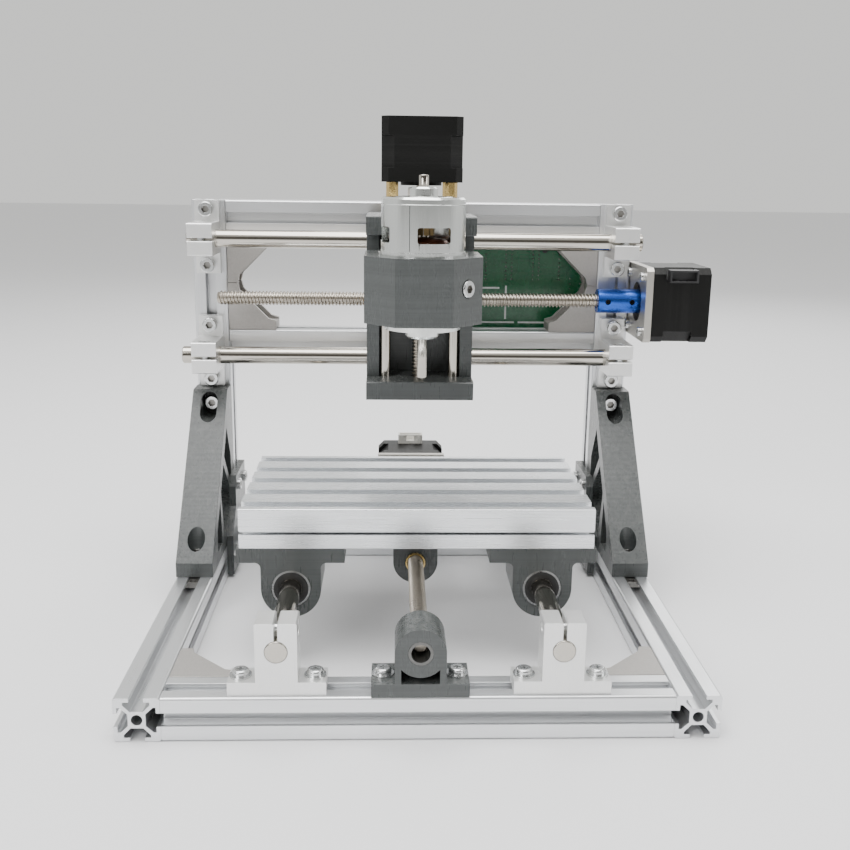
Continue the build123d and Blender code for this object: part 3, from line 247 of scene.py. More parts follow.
# One finish per entry; missing values fall back to those in finishMaterial
finishes = {
    "bedAluminium": {**anodised, "color": (0.86, 0.88, 0.90), "rough": (0.20, 0.34), "metal": 0.75,
                     "stretch": along["x"]},
    "profileX": {**anodised, "stretch": along["x"]},
    "profileY": {**anodised, "stretch": along["y"]},
    "profileZ": {**anodised, "stretch": along["z"]},
    "milledAluminium": {"color": (0.86, 0.86, 0.85), "shade": (0.72, 0.72, 0.71), "rough": (0.30, 0.44),
                        "metal": 0.88, "scale": 2200.0, "bump": 0.12, "stretch": (1, 1, 0.15),
                        "dustAndSheen": 0.05},
    "castAlloy": {"color": (0.44, 0.42, 0.40), "shade": (0.32, 0.31, 0.29), "rough": (0.45, 0.62),
                  "metal": 0.75, "scale": 900.0, "bump": 0.35, "bumpDistance": 0.0002},
    # The grey prints' pale amount on up-facing faces is partly dust, partly painted sheen
    "printedGrey": {"color": (0.052, 0.058, 0.057), "shade": (0.032, 0.036, 0.035),
                    "rough": (0.22, 0.36), "scale": 620.0, "stretch": (1, 1, 0.12), "bump": 0.4,
                    "lines": printLines, "lineHigh": 0.4, "bandAmount": 0.05,
                    "bandColor": (0.3, 0.32, 0.32), "shadeAmount": 0.3, "dustAndSheen": 0.10, "specular": 0.62},
    "rodChrome": {"color": (0.54, 0.51, 0.46), "shade": (0.40, 0.37, 0.32), "rough": (0.07, 0.16),
                  "metal": 1.0, "scale": 1800.0, "bump": 0.03, "shadeAmount": 0.3, "dustAndSheen": 0.0},
    "threadSteel": {"color": (0.50, 0.46, 0.40), "shade": (0.30, 0.26, 0.21), "rough": (0.24, 0.36),
                    "metal": 1.0, "scale": 120.0, "bump": 0.02, "shadeAmount": 0.4, "dustAndSheen": 0.0},
    "brightZinc": {"color": (0.70, 0.71, 0.71), "shade": (0.48, 0.49, 0.49), "rough": (0.16, 0.3),
                   "metal": 1.0, "scale": 800.0, "bump": 0.06, "shadeAmount": 0.3},
    "canZinc": {"color": (0.86, 0.88, 0.86), "shade": (0.66, 0.69, 0.68), "rough": (0.12, 0.22),
                "metal": 1.0, "scale": 900.0, "stretch": (1, 1, 0.05), "bump": 0.05,
                "shadeAmount": 0.4},
    "turnedBrass": {"color": (0.80, 0.58, 0.24), "shade": (0.58, 0.40, 0.15), "rough": (0.18, 0.34),
                    "metal": 1.0, "scale": 900.0, "bump": 0.06},
    "agedBrass": {"color": (0.34, 0.24, 0.11), "shade": (0.14, 0.10, 0.05), "rough": (0.3, 0.45),
                  "metal": 0.9, "scale": 700.0, "bump": 0.2, "shadeAmount": 0.6},
    "socketShadow": {"color": (0.07, 0.07, 0.07), "rough": (0.4, 0.6), "metal": 0.7, "scale": 900.0},
    # A dull zinc: the slot nuts' own finish, and painted shade inside the screw sockets
    "dullZincAndSocketShade": {"color": (0.36, 0.35, 0.33), "rough": (0.25, 0.4), "metal": 1.0, "scale": 900.0},
    "plateSteel": {"color": (0.52, 0.50, 0.46), "shade": (0.42, 0.40, 0.36), "rough": (0.26, 0.38),
                   "metal": 0.95, "scale": 1400.0, "stretch": (1, 1, 0.1), "bump": 0.08},
    "blueAnodised": {"color": (0.030, 0.110, 0.50), "shade": (0.018, 0.065, 0.33), "rough": (0.2, 0.34),
                     "metal": 0.85, "scale": 1400.0, "stretch": (0.1, 1, 1), "bump": 0.06},
    "motorBlack": {"color": (0.0028, 0.0028, 0.0024), "shade": (0.0060, 0.0060, 0.0055),
                   "rough": (0.38, 0.52), "scale": 1500.0, "bump": 0.2, "specular": 0.22, "dustAndSheen": 0.02},
    "setScrewBlack": {"color": (0.008, 0.008, 0.009), "rough": (0.3, 0.45), "metal": 0.8, "scale": 900.0},
    "sealRubber": {"color": (0.012, 0.012, 0.012), "rough": (0.4, 0.6), "scale": 900.0, "bump": 0.2},
    "darkSteel": {"color": (0.15, 0.15, 0.145), "rough": (0.3, 0.45), "metal": 0.8, "scale": 900.0},
    "bearingSteel": {"color": (0.42, 0.42, 0.42), "rough": (0.22, 0.35), "metal": 1.0, "scale": 900.0},
    "chipBlack": {"color": (0.016, 0.016, 0.017), "rough": (0.35, 0.5), "scale": 1800.0, "bump": 0.2},
    "whiteNylon": {"color": (0.78, 0.76, 0.70), "rough": (0.38, 0.5), "scale": 600.0, "bump": 0.1},
    "boardMask": {"color": (0.004, 0.125, 0.044), "shade": (0.003, 0.088, 0.030), "rough": (0.2, 0.34),
                  "scale": 260.0, "coat": 0.3, "shadeAmount": 0.5, "bump": 0.06, "dustAndSheen": 0.02},
    "boardTrace": {"color": (0.008, 0.165, 0.066), "rough": (0.2, 0.32), "scale": 500.0, "coat": 0.3},
    "whiteInk": {"color": (0.80, 0.82, 0.80), "rough": (0.4, 0.5), "scale": 900.0},
    # The solder joints are made darker than bare solder as painted shade
    "shadedSolder": {"color": (0.30, 0.33, 0.29), "rough": (0.16, 0.3), "metal": 1.0, "scale": 900.0,
               "bump": 0.2},
    # Near-black discs: painted shade inside the board's holes
    "holeShade": {"color": (0.008, 0.010, 0.009), "rough": (0.6, 0.8), "scale": 900.0},
    "copperWire": {"color": (0.16, 0.05, 0.022), "shade": (0.05, 0.014, 0.006), "rough": (0.22, 0.4),
                   "metal": 0.7, "scale": 1200.0, "stretch": (1, 1, 0.1), "bump": 0.5,
                   "bumpDistance": 0.0004},
    "corePlates": {"color": (0.16, 0.15, 0.14), "rough": (0.3, 0.45), "metal": 0.9, "scale": 900.0,
                   "lines": {"Axis": (0, 0, 1), "Pitch": 0.0007}, "lineHigh": 1.0, "bump": 0.5},
}
materials = {name: finishMaterial(name, values) for name, values in finishes.items()}


def motorMaterial(name, axis, coreStart, coreEnd):
    values = {**finishes["motorBlack"], "lineHigh": 0.5, "bump": 0.3, "bandAmount": 0.003,
              "lines": {"Axis": axis, "Pitch": 0.0009, "Start": coreStart, "End": coreEnd}}
    return finishMaterial(name, values)


motorCaps = {"front": 7.3, "rear": 9.5, "length": 33.0}
for motor, axis in (("x_motor", (1, 0, 0)), ("y_motor", (0, 1, 0)), ("z_motor", (0, 0, 1))):
    low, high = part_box(motor)
    index = axis.index(1)
    coreStart = high[index] - (motorCaps["length"] - motorCaps["front"]) * mm
    coreEnd = high[index] - motorCaps["rear"] * mm
    materials[motor] = motorMaterial(motor + "Paint", axis, coreStart, coreEnd)
print("materials built:", len(materials))


# A mesh made into a piece: smooth, sharp at its edges, riding its body
def pieceFrom(bm, name, material, body, replaced=(), angle=35):
    bmesh.ops.recalc_face_normals(bm, faces=bm.faces)
    mesh = bpy.data.meshes.new(name)
    bm.to_mesh(mesh)
    bm.free()
    mesh.polygons.foreach_set("use_smooth", [True] * len(mesh.polygons))
    mesh.set_sharp_from_angle(angle=math.radians(angle))
    piece = bpy.data.objects.new(name, mesh)
    bpy.context.scene.collection.objects.link(piece)
    mesh.materials.append(materials[material])
    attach(piece, body)
    if replaced:
        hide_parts(*replaced)
    return piece


def axisMatrix(centre, axis):
    # Local z turned onto the axis, moved to the centre
    turn = Vector((0, 0, 1)).rotation_difference(Vector(axis)).to_matrix().to_4x4()
    return Matrix.Translation(centre) @ turn


def addLathe(bm, matrix, outline, segments=40, closed=False):
    # outline: (height, radius) pairs, turned round local z
    rings = []
    for height, radius in outline:
        if radius < 1e-7:
            rings.append([bm.verts.new(matrix @ Vector((0, 0, height)))])
            continue
        angles = [2 * math.pi * step / segments for step in range(segments)]
        rings.append([bm.verts.new(matrix @ Vector((radius * math.cos(a), radius * math.sin(a), height)))
                      for a in angles])
    pairs = list(zip(rings, rings[1:]))
    if closed:
        pairs.append((rings[-1], rings[0]))
    for lower, upper in pairs:
        for step in range(segments):
            after = (step + 1) % segments
            corners = []
            for ring, order in ((lower, (step, after)), (upper, (after, step))):
                if len(ring) == 1:
                    corners.append(ring[0])
                else:
                    corners += [ring[order[0]], ring[order[1]]]
            if len(corners) > 2:
                bm.faces.new(corners)


def addBlock(bm, low, high):
    corners = [Vector((x, y, z)) for x in (low[0], high[0]) for y in (low[1], high[1])
               for z in (low[2], high[2])]
    verts = [bm.verts.new(corner) for corner in corners]
    faces = [(0, 1, 3, 2), (4, 6, 7, 5), (0, 4, 5, 1), (2, 3, 7, 6), (0, 2, 6, 4), (1, 5, 7, 3)]
    for face in faces:
        bm.faces.new([verts[corner] for corner in face])


# How a CAD mesh is cleaned and its edges are broken
edgePlan = {"weld": 2e-6, "flatAngle": 0.6, "sharpAngle": 32, "smoothAngle": 60, "steps": 2, "round": 0.6}


def cleanMesh(node):
    # The CAD mesh of a piece, welded, with its flat faces joined up
    bm = bmesh.new()
    bm.from_mesh(frame["nodes"][node].data)
    bmesh.ops.remove_doubles(bm, verts=bm.verts, dist=edgePlan["weld"])
    flat = math.radians(edgePlan["flatAngle"])
    bmesh.ops.dissolve_limit(bm, angle_limit=flat, verts=bm.verts, edges=bm.edges)
    return bm


# Reach of the driving socket in each set of screws, a little less than the shank's radius; faces within it
# get painted shade
socketScrews = {"bracket_screws": 2.3, "brace_screws": 2.3, "socket_screws": 2.3, "clamp_screws": 1.85,
                "spindle_clamp_screw": 2.3, "motor_screws": 1.38}
socketDepth = 0.45  # share of the screw's length


def bevelledCopy(node, material, width):
    bm = cleanMesh(node)
    sharpAngle = math.radians(edgePlan["sharpAngle"])
    sharp = [edge for edge in bm.edges if len(edge.link_faces) == 2 and edge.calc_face_angle(0) > sharpAngle]
    if width:
        bmesh.ops.bevel(bm, geom=sharp, offset=width, offset_type="OFFSET", segments=edgePlan["steps"],
                        profile=edgePlan["round"], affect="EDGES", clamp_overlap=True)
    if node in socketScrews:
        paintSocketShade(bm, socketScrews[node] * mm)
    piece = pieceFrom(bm, node + "Finished", material, nodeBody[node], (node,),
                      angle=edgePlan["smoothAngle"])
    # Second material: the painted shade inside the sockets
    if node in socketScrews:
        piece.data.materials.append(materials["dullZincAndSocketShade"])
    weights = piece.modifiers.new("evenNormals", "WEIGHTED_NORMAL")
    weights.keep_sharp = True
    return piece


def solidsOf(bm):
    # The separate solids of a mesh, each as a set of vertices
    waiting = set(bm.verts)
    found = []
    while waiting:
        first = waiting.pop()
        island, reached = {first}, [first]
        while reached:
            for link in reached.pop().link_edges:
                for other in link.verts:
                    if other not in island:
                        island.add(other)
                        reached.append(other)
        waiting -= island
        found.append(island)
    return found


def paintSocketShade(bm, reach):
    # The walls and floor of each driving socket get a darker zinc than the head: painted shade in the recess
    for island in solidsOf(bm):
        faces = {face for vert in island for face in vert.link_faces}
        axis = max(faces, key=lambda face: len(face.verts)).normal.normalized()
        first = axis.orthogonal().normalized()
        second = axis.cross(first)
        centre = Vector()
        for way in (first, second):
            spread = [vert.co.dot(way) for vert in island]
            centre += way * (min(spread) + max(spread)) / 2

        def radial(vert):
            return (vert.co - centre - axis * (vert.co - centre).dot(axis)).length

        heights = [vert.co.dot(axis) for vert in island]
        low, high = min(heights), max(heights)
        widest = max(island, key=radial)
        headUp = widest.co.dot(axis) > (low + high) / 2
        headEnd = high if headUp else low
        for face in faces:
            deep = abs(face.calc_center_median().dot(axis) - headEnd)
            if deep < socketDepth * (high - low) and all(radial(vert) < reach for vert in face.verts):
                face.material_index = 1


bevelNodes = {
    "side_profile_left": ("profileY", 0.20), "side_profile_right": ("profileY", 0.20),
    "front_profile": ("profileX", 0.20), "rear_profile": ("profileX", 0.20),
    "upper_beam": ("profileX", 0.20), "lower_beam": ("profileX", 0.20),
    "upright_left": ("profileZ", 0.20), "upright_right": ("profileZ", 0.20),
    "bed": ("bedAluminium", 0.18),
    "x_rod_supports": ("milledAluminium", 0.22), "y_rod_supports": ("milledAluminium", 0.22),
    "x_motor_bracket": ("plateSteel", 0.25), "y_motor_bracket": ("plateSteel", 0.25),
    "base_brackets": ("castAlloy", 0.5), "gantry_brackets": ("castAlloy", 0.5),
    "brace_left": ("printedGrey", 0.45), "brace_right": ("printedGrey", 0.45),
    "foot_plates": ("printedGrey", 0.3), "screw_holder": ("printedGrey", 0.4),
    "bearing_holders": ("printedGrey", 0.35), "nut_holder": ("printedGrey", 0.35),
    "carriage": ("printedGrey", 0.35), "spindle_holder": ("printedGrey", 0.4),
    "x_motor": ("x_motor", 0.3), "y_motor": ("y_motor", 0.3), "z_motor": ("z_motor", 0.3),
    "x_coupling": ("blueAnodised", 0.35), "y_coupling": ("blueAnodised", 0.35),
    "z_coupling": ("milledAluminium", 0.35),
    "x_rods": ("rodChrome", 0.0), "y_rods": ("rodChrome", 0.0), "z_rods": ("rodChrome", 0.0),
    "z_motor_socket": ("whiteNylon", 0.15),
    "board_chips": ("chipBlack", 0.15), "board_sockets": ("chipBlack", 0.15),
    "heat_sinks": ("milledAluminium", 0.1),
    "board_spacers": ("whiteNylon", 0.1), "controller_board": ("boardMask", 0.1),
    "spindle_can": ("canZinc", 0.22), "spindle_shaft": ("rodChrome", 0.0),
    "standoffs": ("turnedBrass", 0.2), "y_nut": ("turnedBrass", 0.2), "x_nut": ("turnedBrass", 0.2),
    "slot_nuts": ("dullZincAndSocketShade", 0.2), "screw_bush": ("darkSteel", 0.1),
    "table_bearings": ("bearingSteel", 0.2), "x_bearings": ("bearingSteel", 0.2),
}
for screws in ("bracket_screws", "brace_screws", "pan_screws", "socket_screws", "clamp_screws",
               "motor_screws", "holder_bolts", "spindle_clamp_screw"):
    bevelNodes[screws] = ("brightZinc", 0.12)
for node, (material, width) in bevelNodes.items():
    bevelledCopy(node, material, width * mm)


motorSocketPlan = {"edge": 0.12, "parting": 40.0}


def splitSockets():
    # The two frame motors carry different sockets: black on X, white on Y
    for name, material, onRight in (("xMotorSocket", "chipBlack", True),
                                    ("yMotorSocket", "whiteNylon", False)):
        bm = cleanMesh("motor_sockets")
        parting = middle("y_motor").x + motorSocketPlan["parting"] * mm
        away = [vert for vert in bm.verts if (vert.co.x > parting) != onRight]
        bmesh.ops.delete(bm, geom=away, context="VERTS")
        bmesh.ops.bevel(bm, geom=list(bm.edges), offset=motorSocketPlan["edge"] * mm, segments=1,
                        affect="EDGES", clamp_overlap=True)
        pieceFrom(bm, name, material, nodeBody["motor_sockets"],
                  ("motor_sockets",))


splitSockets()
print("finished CAD pieces:", len(bevelNodes))


# Lead screws with a rolled two-start thread
threads = {"outer": 4.0, "root": 3.15, "pitch": 2.0, "starts": 2, "crest": 0.30, "flank": 0.2, "columns": 28,
           "stub": 2.5, "stubEdge": 0.4, "lead": 0.8, "tip": 0.4, "tipRise": 0.9}
screwPlan = {"x_screw": {"coupling": "x_coupling", "index": 0},
             "y_screw": {"coupling": "y_coupling", "index": 1},
             "z_screw": {"coupling": "z_coupling", "index": 2}}


def threadRows(length):
    # Distances along one pitch where the profile turns, repeated over the length
    crest, flank = threads["crest"], threads["flank"]
    turns = [(0.0, 1), (crest, 1), (crest + flank, 0), (1 - flank, 0)]
    count = int(length / threads["pitch"]) + threads["starts"] + 2
    return [((pitch + share) * threads["pitch"], level) for pitch in range(-threads["starts"] - 1, count)
            for share, level in turns]


def addThread(bm, matrix, length):
    # A helical grid: every row climbs one lead in a full turn, so its last column meets a later row
    rows = threadRows(length)
    columns = threads["columns"]
    later = 4 * threads["starts"]
    lead = threads["pitch"] * threads["starts"]
    grid = []
    for distance, level in rows:
        line = []
        for column in range(columns):
            share = column / columns
            height = min(max(distance + lead * share, 0.0), length)
            radius = threads["root"] + level * (threads["outer"] - threads["root"])
            nearEnd = min(height, length - height)
            tip = threads["root"] - threads["tip"]
            radius = min(radius, tip + nearEnd / threads["lead"] * threads["tipRise"])
            turn = 2 * math.pi * share
            point = Vector((radius * math.cos(turn), radius * math.sin(turn), height)) * mm
            line.append(bm.verts.new(matrix @ point))
        grid.append(line)
    for row in range(len(rows) - 1):
        for column in range(columns - 1):
            bm.faces.new((grid[row][column], grid[row][column + 1],
                          grid[row + 1][column + 1], grid[row + 1][column]))
        if row + 1 + later < len(rows):
            bm.faces.new((grid[row][-1], grid[row + later][0], grid[row + 1 + later][0], grid[row + 1][-1]))
    flat = [face for face in bm.faces if face.calc_area() < 1e-12]
    bmesh.ops.delete(bm, geom=flat, context="FACES")
    bmesh.ops.remove_doubles(bm, verts=bm.verts, dist=1e-6)
    loose = [vert for vert in bm.verts if not vert.link_faces]
    bmesh.ops.delete(bm, geom=loose, context="VERTS")
    rims = [edge for edge in bm.edges if len(edge.link_faces) == 1]
    bmesh.ops.holes_fill(bm, edges=rims, sides=400)


for node, plan in screwPlan.items():
    index = plan["index"]
    low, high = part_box(node)
    couplingLow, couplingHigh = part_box(plan["coupling"])
    start = (low + high) / 2
    start[index] = low[index]
    matrix = axisMatrix(start, [1.0 if spot == index else 0.0 for spot in range(3)])
    # The thread ends halfway along the coupling, and the motor's plain shaft takes over
    stubStart = (couplingLow[index] + couplingHigh[index]) / 2 - low[index]
    stubEnd = high[index] - low[index]
    stub, edge = threads["stub"] * mm, threads["stubEdge"] * mm
    bm = bmesh.new()
    addThread(bm, matrix, stubStart / mm)
    addLathe(bm, matrix, [(stubStart, 0), (stubStart, stub), (stubEnd - edge, stub), (stubEnd, stub - edge),
                          (stubEnd, 0)], 32)
    pieceFrom(bm, node + "Thread", "threadSteel", nodeBody[node], (node,), angle=28)
print("lead screws threaded")


# Hollow set screws in the couplings
setScrew = {"radius": 1.5, "hexRadius": 0.95, "share": 0.22, "depth": 1.4, "sink": 1.0}


def addSetScrew(bm, matrix):
    # A hollow-hexagon grub screw, its mouth at local z 0
    radius, hexRadius, depth = (setScrew[key] * mm for key in ("radius", "hexRadius", "depth"))
    outer = [matrix @ Vector((radius * math.cos(a), radius * math.sin(a), 0))
             for a in (2 * math.pi * step / 24 for step in range(24))]
    inner = [matrix @ Vector((hexRadius * math.cos(a), hexRadius * math.sin(a), 0))
             for a in (2 * math.pi * step / 6 for step in range(6))]
    rim = [bm.verts.new(point) for point in outer]
    mouth = [bm.verts.new(point) for point in inner]
    floor = [bm.verts.new(point - (matrix.to_3x3() @ Vector((0, 0, depth)))) for point in inner]
    for side in range(6):
        after = (side + 1) % 6
        bm.faces.new((mouth[side], mouth[after], floor[after], floor[side]))
        fan = [rim[(side * 4 + step) % 24] for step in range(5)]
        bm.faces.new([mouth[after], mouth[side], *fan])
    bm.faces.new(floor)


def couplingScrews(node, index):
    low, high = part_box(node)
    centre = (low + high) / 2
    radius = (high - low)[(index + 1) % 3] / 2
    sides = {0: (Vector((0, -1, 0)), Vector((0, 0, 1))), 1: (Vector((1, 0, 0)), Vector((0, 0, 1))),
             2: (Vector((0, -1, 0)), Vector((1, 0, 0)))}[index]
    bm = bmesh.new()
    inset = (high - low)[index] * setScrew["share"]
    for end in (low[index] + inset, high[index] - inset):
        for side in sides:
            mouth = Vector(centre)
            mouth[index] = end
            mouth += side * (radius - setScrew["sink"] * mm)
            addSetScrew(bm, axisMatrix(mouth, side))
    pieceFrom(bm, node + "SetScrews", "setScrewBlack", nodeBody[node])


for node, index in (("x_coupling", 0), ("y_coupling", 1), ("z_coupling", 2)):
    couplingScrews(node, index)
print("coupling set screws placed")


# Bearing seals
sealPlan = {"outer": 8.4, "inner": 5.15, "high": 0.35, "lip": 0.25, "edge": 0.3, "rim": 1.2, "dish": 0.9,
            "rod": 5.0}


def bearingSeals(node, index, spots, body):
    bm = bmesh.new()
    outer, inner, high, lip, edge, rim, dish = (sealPlan[key] * mm for key in
                                                ("outer", "inner", "high", "lip", "edge", "rim", "dish"))
    outline = [(0, outer), (high * 0.7, outer), (high, outer - edge), (high, inner + rim),
               (high * 0.4, inner + dish), (high * 0.5, inner + lip), (high * 0.2, inner), (0, inner)]
    for spot, way in spots:
        direction = [float(way) if part == index else 0.0 for part in range(3)]
        addLathe(bm, axisMatrix(spot, direction), outline, 48, closed=True)
    pieceFrom(bm, node + "Seals", "sealRubber", body, angle=50)


low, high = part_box("table_bearings")
rodLow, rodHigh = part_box("y_rods")
rodRadius = sealPlan["rod"] * mm
tableSpots = []
for x in (rodLow.x + rodRadius, rodHigh.x - rodRadius):
    z = (rodLow.z + rodHigh.z) / 2
    tableSpots += [(Vector((x, low.y, z)), -1), (Vector((x, high.y, z)), 1)]
bearingSeals("table_bearings", 1, tableSpots, nodeBody["table_bearings"])
low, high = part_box("x_bearings")
rodLow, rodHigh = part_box("x_rods")
carriageSpots = []
for z in (rodLow.z + rodRadius, rodHigh.z - rodRadius):
    y = (rodLow.y + rodHigh.y) / 2
    carriageSpots += [(Vector((low.x, y, z)), -1), (Vector((high.x, y, z)), 1)]
bearingSeals("x_bearings", 0, carriageSpots, nodeBody["x_bearings"])
print("bearing seals placed")


# Plates, winding and commutator inside the spindle motor. Starts and ends are shares of its length,
# turns and gaps are shares of a tooth or bar, the coil's reach and the slot's floor are shares of its
# radius, and the rest is in millimetres.
platePlan = {"teeth": 10, "start": 0.20, "end": 0.66, "slotFloor": 0.72,
             "tooth": ((0.02, True), (0.34, True), (0.68, True), (0.72, False), (0.98, False))}
coilPlan = {"strands": 3, "wire": 0.9, "radius": 0.8, "turn": 0.85, "reach": 0.86, "past": 3.2, "shaft": 2.6,
            "tip": 0.3}
commutatorPlan = {"bars": 12, "start": 0.80, "end": 0.98, "gap": 0.06, "outer": 5.6, "inner": 2.7}


def buildArmature():
    low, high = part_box("armature")
    centre = (low + high) / 2
    radius = (high.x - low.x) / 2
    length = high.z - low.z
    base = axisMatrix(Vector((centre.x, centre.y, low.z)), (0, 0, 1))
    addPlates(base, radius, length)
    addCoils(base, radius, length)
    addCommutator(base, length)


def addPlates(base, radius, length):
    plates = bmesh.new()
    coreLow, coreHigh = platePlan["start"] * length, platePlan["end"] * length
    ring = []
    for tooth in range(platePlan["teeth"]):
        for share, outside in platePlan["tooth"]:
            reach = radius if outside else radius * platePlan["slotFloor"]
            turn = 2 * math.pi * (tooth + share) / platePlan["teeth"]
            ring.append(Vector((reach * math.cos(turn), reach * math.sin(turn), 0)))
    bottom = [plates.verts.new(base @ (point + Vector((0, 0, coreLow)))) for point in ring]
    top = [plates.verts.new(base @ (point + Vector((0, 0, coreHigh)))) for point in ring]
    for step in range(len(ring)):
        after = (step + 1) % len(ring)
        plates.faces.new((bottom[step], bottom[after], top[after], top[step]))
    plates.faces.new(bottom)
    plates.faces.new(top)
    pieceFrom(plates, "armaturePlates", "corePlates", nodeBody["armature"],
              ("armature",))


def addCoils(base, radius, length):
    coils = bmesh.new()
    coreLow, coreHigh = platePlan["start"] * length, platePlan["end"] * length
    past, wire, tip, shaft = (coilPlan[key] * mm for key in ("past", "radius", "tip", "shaft"))
    for tooth in range(platePlan["teeth"]):
        turn = 2 * math.pi * (tooth + coilPlan["turn"]) / platePlan["teeth"]
        for strand in range(coilPlan["strands"]):
            lift = strand * coilPlan["wire"] * mm
            path = Vector((math.cos(turn), math.sin(turn), 0)) * (radius * coilPlan["reach"] - lift)
            start = base @ (path + Vector((0, 0, coreLow - past + lift)))
            reach = coreHigh - coreLow + 2 * past - 2 * lift
            outline = [(0, 0), (tip, wire), (reach - tip, wire), (reach, 0)]
            addLathe(coils, axisMatrix(start, (0, 0, 1)), outline, 10)
    # The bundled ends of the winding, a rounded ring at each end of the plates
    bundle = [(0, shaft), (0, radius * 0.88), (1.6 * mm, radius * 0.90), (4.2 * mm, radius * 0.74),
              (5.2 * mm, radius * 0.5), (5.0 * mm, shaft)]
    for height, way in ((coreLow, -1), (coreHigh, 1)):
        addLathe(coils, axisMatrix(base @ Vector((0, 0, height)), (0, 0, way)), bundle, 48, closed=True)
    pieceFrom(coils, "armatureCoils", "copperWire", nodeBody["armature"], angle=60)


def addCommutator(base, length):
    bars = bmesh.new()
    count, gap = commutatorPlan["bars"], commutatorPlan["gap"]
    start, end = commutatorPlan["start"] * length, commutatorPlan["end"] * length
    outer, inner = commutatorPlan["outer"] * mm, commutatorPlan["inner"] * mm
    for bar in range(count):
        begin, finish = 2 * math.pi * (bar + gap) / count, 2 * math.pi * (bar + 1 - gap) / count
        corners = [Vector((reach * math.cos(turn), reach * math.sin(turn), 0))
                   for reach, turn in ((outer, begin), (outer, finish), (inner, finish), (inner, begin))]
        bottom = [bars.verts.new(base @ (point + Vector((0, 0, start)))) for point in corners]
        top = [bars.verts.new(base @ (point + Vector((0, 0, end)))) for point in corners]
        for side in range(4):
            after = (side + 1) % 4
            bars.faces.new((bottom[side], bottom[after], top[after], top[side]))
        bars.faces.new(bottom)
        bars.faces.new(top)
    pieceFrom(bars, "commutatorBars", "agedBrass", nodeBody["armature"])


buildArmature()
print("armature wound")


# Rolled joint of the spindle can, and dark pieces of painted shade for its seam and vents
canPlan = {"radius": 21.0, "bossHigh": 4.8, "rollDown": 3.4, "rollRadius": 0.22,
           "seamWidth": 0.35, "seamTurn": 250, "seamLength": 22.0, "seamSink": 0.1, "seamProud": 0.04,
           "ventCount": 8, "ventRadius": 1.25, "ventRing": 13.6, "ventProud": 0.03,
           "capRise": 0.25, "capSink": 0.05, "capOuter": 14.6, "capInner": 9.0, "capEdge": 0.3}


def addArcBar(bm, matrix, inner, outer, low, high, begin, finish, steps=10):
    # A bar bent round local z between two angles
    rings = []
    for step in range(steps + 1):
        turn = begin + (finish - begin) * step / steps
        side = Vector((math.cos(turn), math.sin(turn), 0))
        rings.append([bm.verts.new(matrix @ (side * radius + Vector((0, 0, height))))
                      for radius, height in ((inner, low), (outer, low), (outer, high), (inner, high))])
    for before, after in zip(rings, rings[1:]):
        for corner in range(4):
            onward = (corner + 1) % 4
            bm.faces.new((before[corner], before[onward], after[onward], after[corner]))
    bm.faces.new(rings[0])
    bm.faces.new(rings[-1])


def buildCanDetails():
    low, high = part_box("spindle_can")
    centre = (low + high) / 2
    canTop = high.z - canPlan["bossHigh"] * mm
    canBottom = low.z + canPlan["bossHigh"] * mm
    canRadius = canPlan["radius"] * mm
    rollHeight, rollRadius = canTop - canPlan["rollDown"] * mm, canPlan["rollRadius"] * mm
    base = Matrix.Translation((centre.x, centre.y, 0))
    roll = bmesh.new()
    outline = [(rollHeight + rollRadius * math.sin(a), canRadius + rollRadius * math.cos(a))
               for a in (2 * math.pi * step / 8 for step in range(8))]
    addLathe(roll, base, outline, 72, closed=True)
    # The raised ring on the cap
    ringLow, ringHigh = canTop - canPlan["capSink"] * mm, canTop + canPlan["capRise"] * mm
    outer, inner, edge = (canPlan[key] * mm for key in ("capOuter", "capInner", "capEdge"))
    outline = [(ringLow, outer), (ringHigh, outer - edge), (ringHigh, inner + 0.4 * mm), (ringLow, inner)]
    addLathe(roll, base, outline, 60, closed=True)
    pieceFrom(roll, "canRolledJoint", "canZinc", nodeBody["spindle_can"], angle=50)
    # A thin dark bar along the seam and dark discs over the vents: painted shade
    dark = bmesh.new()
    seam = math.radians(canPlan["seamTurn"])
    half = canPlan["seamWidth"] * mm / canRadius / 2
    seamInner, seamOuter = canRadius - canPlan["seamSink"] * mm, canRadius + canPlan["seamProud"] * mm
    addArcBar(dark, base, seamInner, seamOuter, rollHeight - canPlan["seamLength"] * mm,
              rollHeight - rollRadius, seam - half, seam + half, 2)
    ventRadius, ventRing, proud = (canPlan[key] * mm for key in ("ventRadius", "ventRing", "ventProud"))
    vent = [(0, ventRadius), (proud, ventRadius), (proud, 0)]
    for number in range(canPlan["ventCount"]):
        turn = 2 * math.pi * (number + 0.5) / canPlan["ventCount"]
        x, y = centre.x + ventRing * math.cos(turn), centre.y + ventRing * math.sin(turn)
        for height, way in ((canBottom, -1), (canTop, 1)):
            place = Vector((x, y, height))
            addLathe(dark, axisMatrix(place, (0, 0, way)), vent, 20)
    pieceFrom(dark, "canSeamAndVentShade", "socketShadow", nodeBody["spindle_can"],
              angle=50)


buildCanDetails()
print("can details added")


# Solder side of the controller board, in millimetres from its lower left corner
boardPlan = {"proud": 0.06, "ink": 0.55, "trace": 0.42, "traces": 70, "reach": 18, "climb": 14, "pad": 0.62,
             "joint": 1.0, "pitch": 2.54, "right": 94, "top": 82, "edge": 3, "holeRow": 70, "pinHole": 0.75,
             "screwHole": 1.9}
screwHoles = ((68.0, 64.3), (77.4, 63.8))
# Broad ink bars: a corner mark in the middle and a broken line along the foot
inkBars = [(12, 40.6, 39.8, 40.6), (44.4, 37, 44.4, 41.5), (44.4, 21.7, 44.4, 30.4), (44.4, 10, 44.4, 14),
           (8, 19.1, 49.6, 19.1), (53, 19.1, 70.5, 19.1), (76, 8, 92, 8)]
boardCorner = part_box("controller_board")[0]
boardFront = boardCorner.y


def boardPoint(x, z):
    return Vector((boardCorner.x + x * mm, boardFront, boardCorner.z + z * mm))


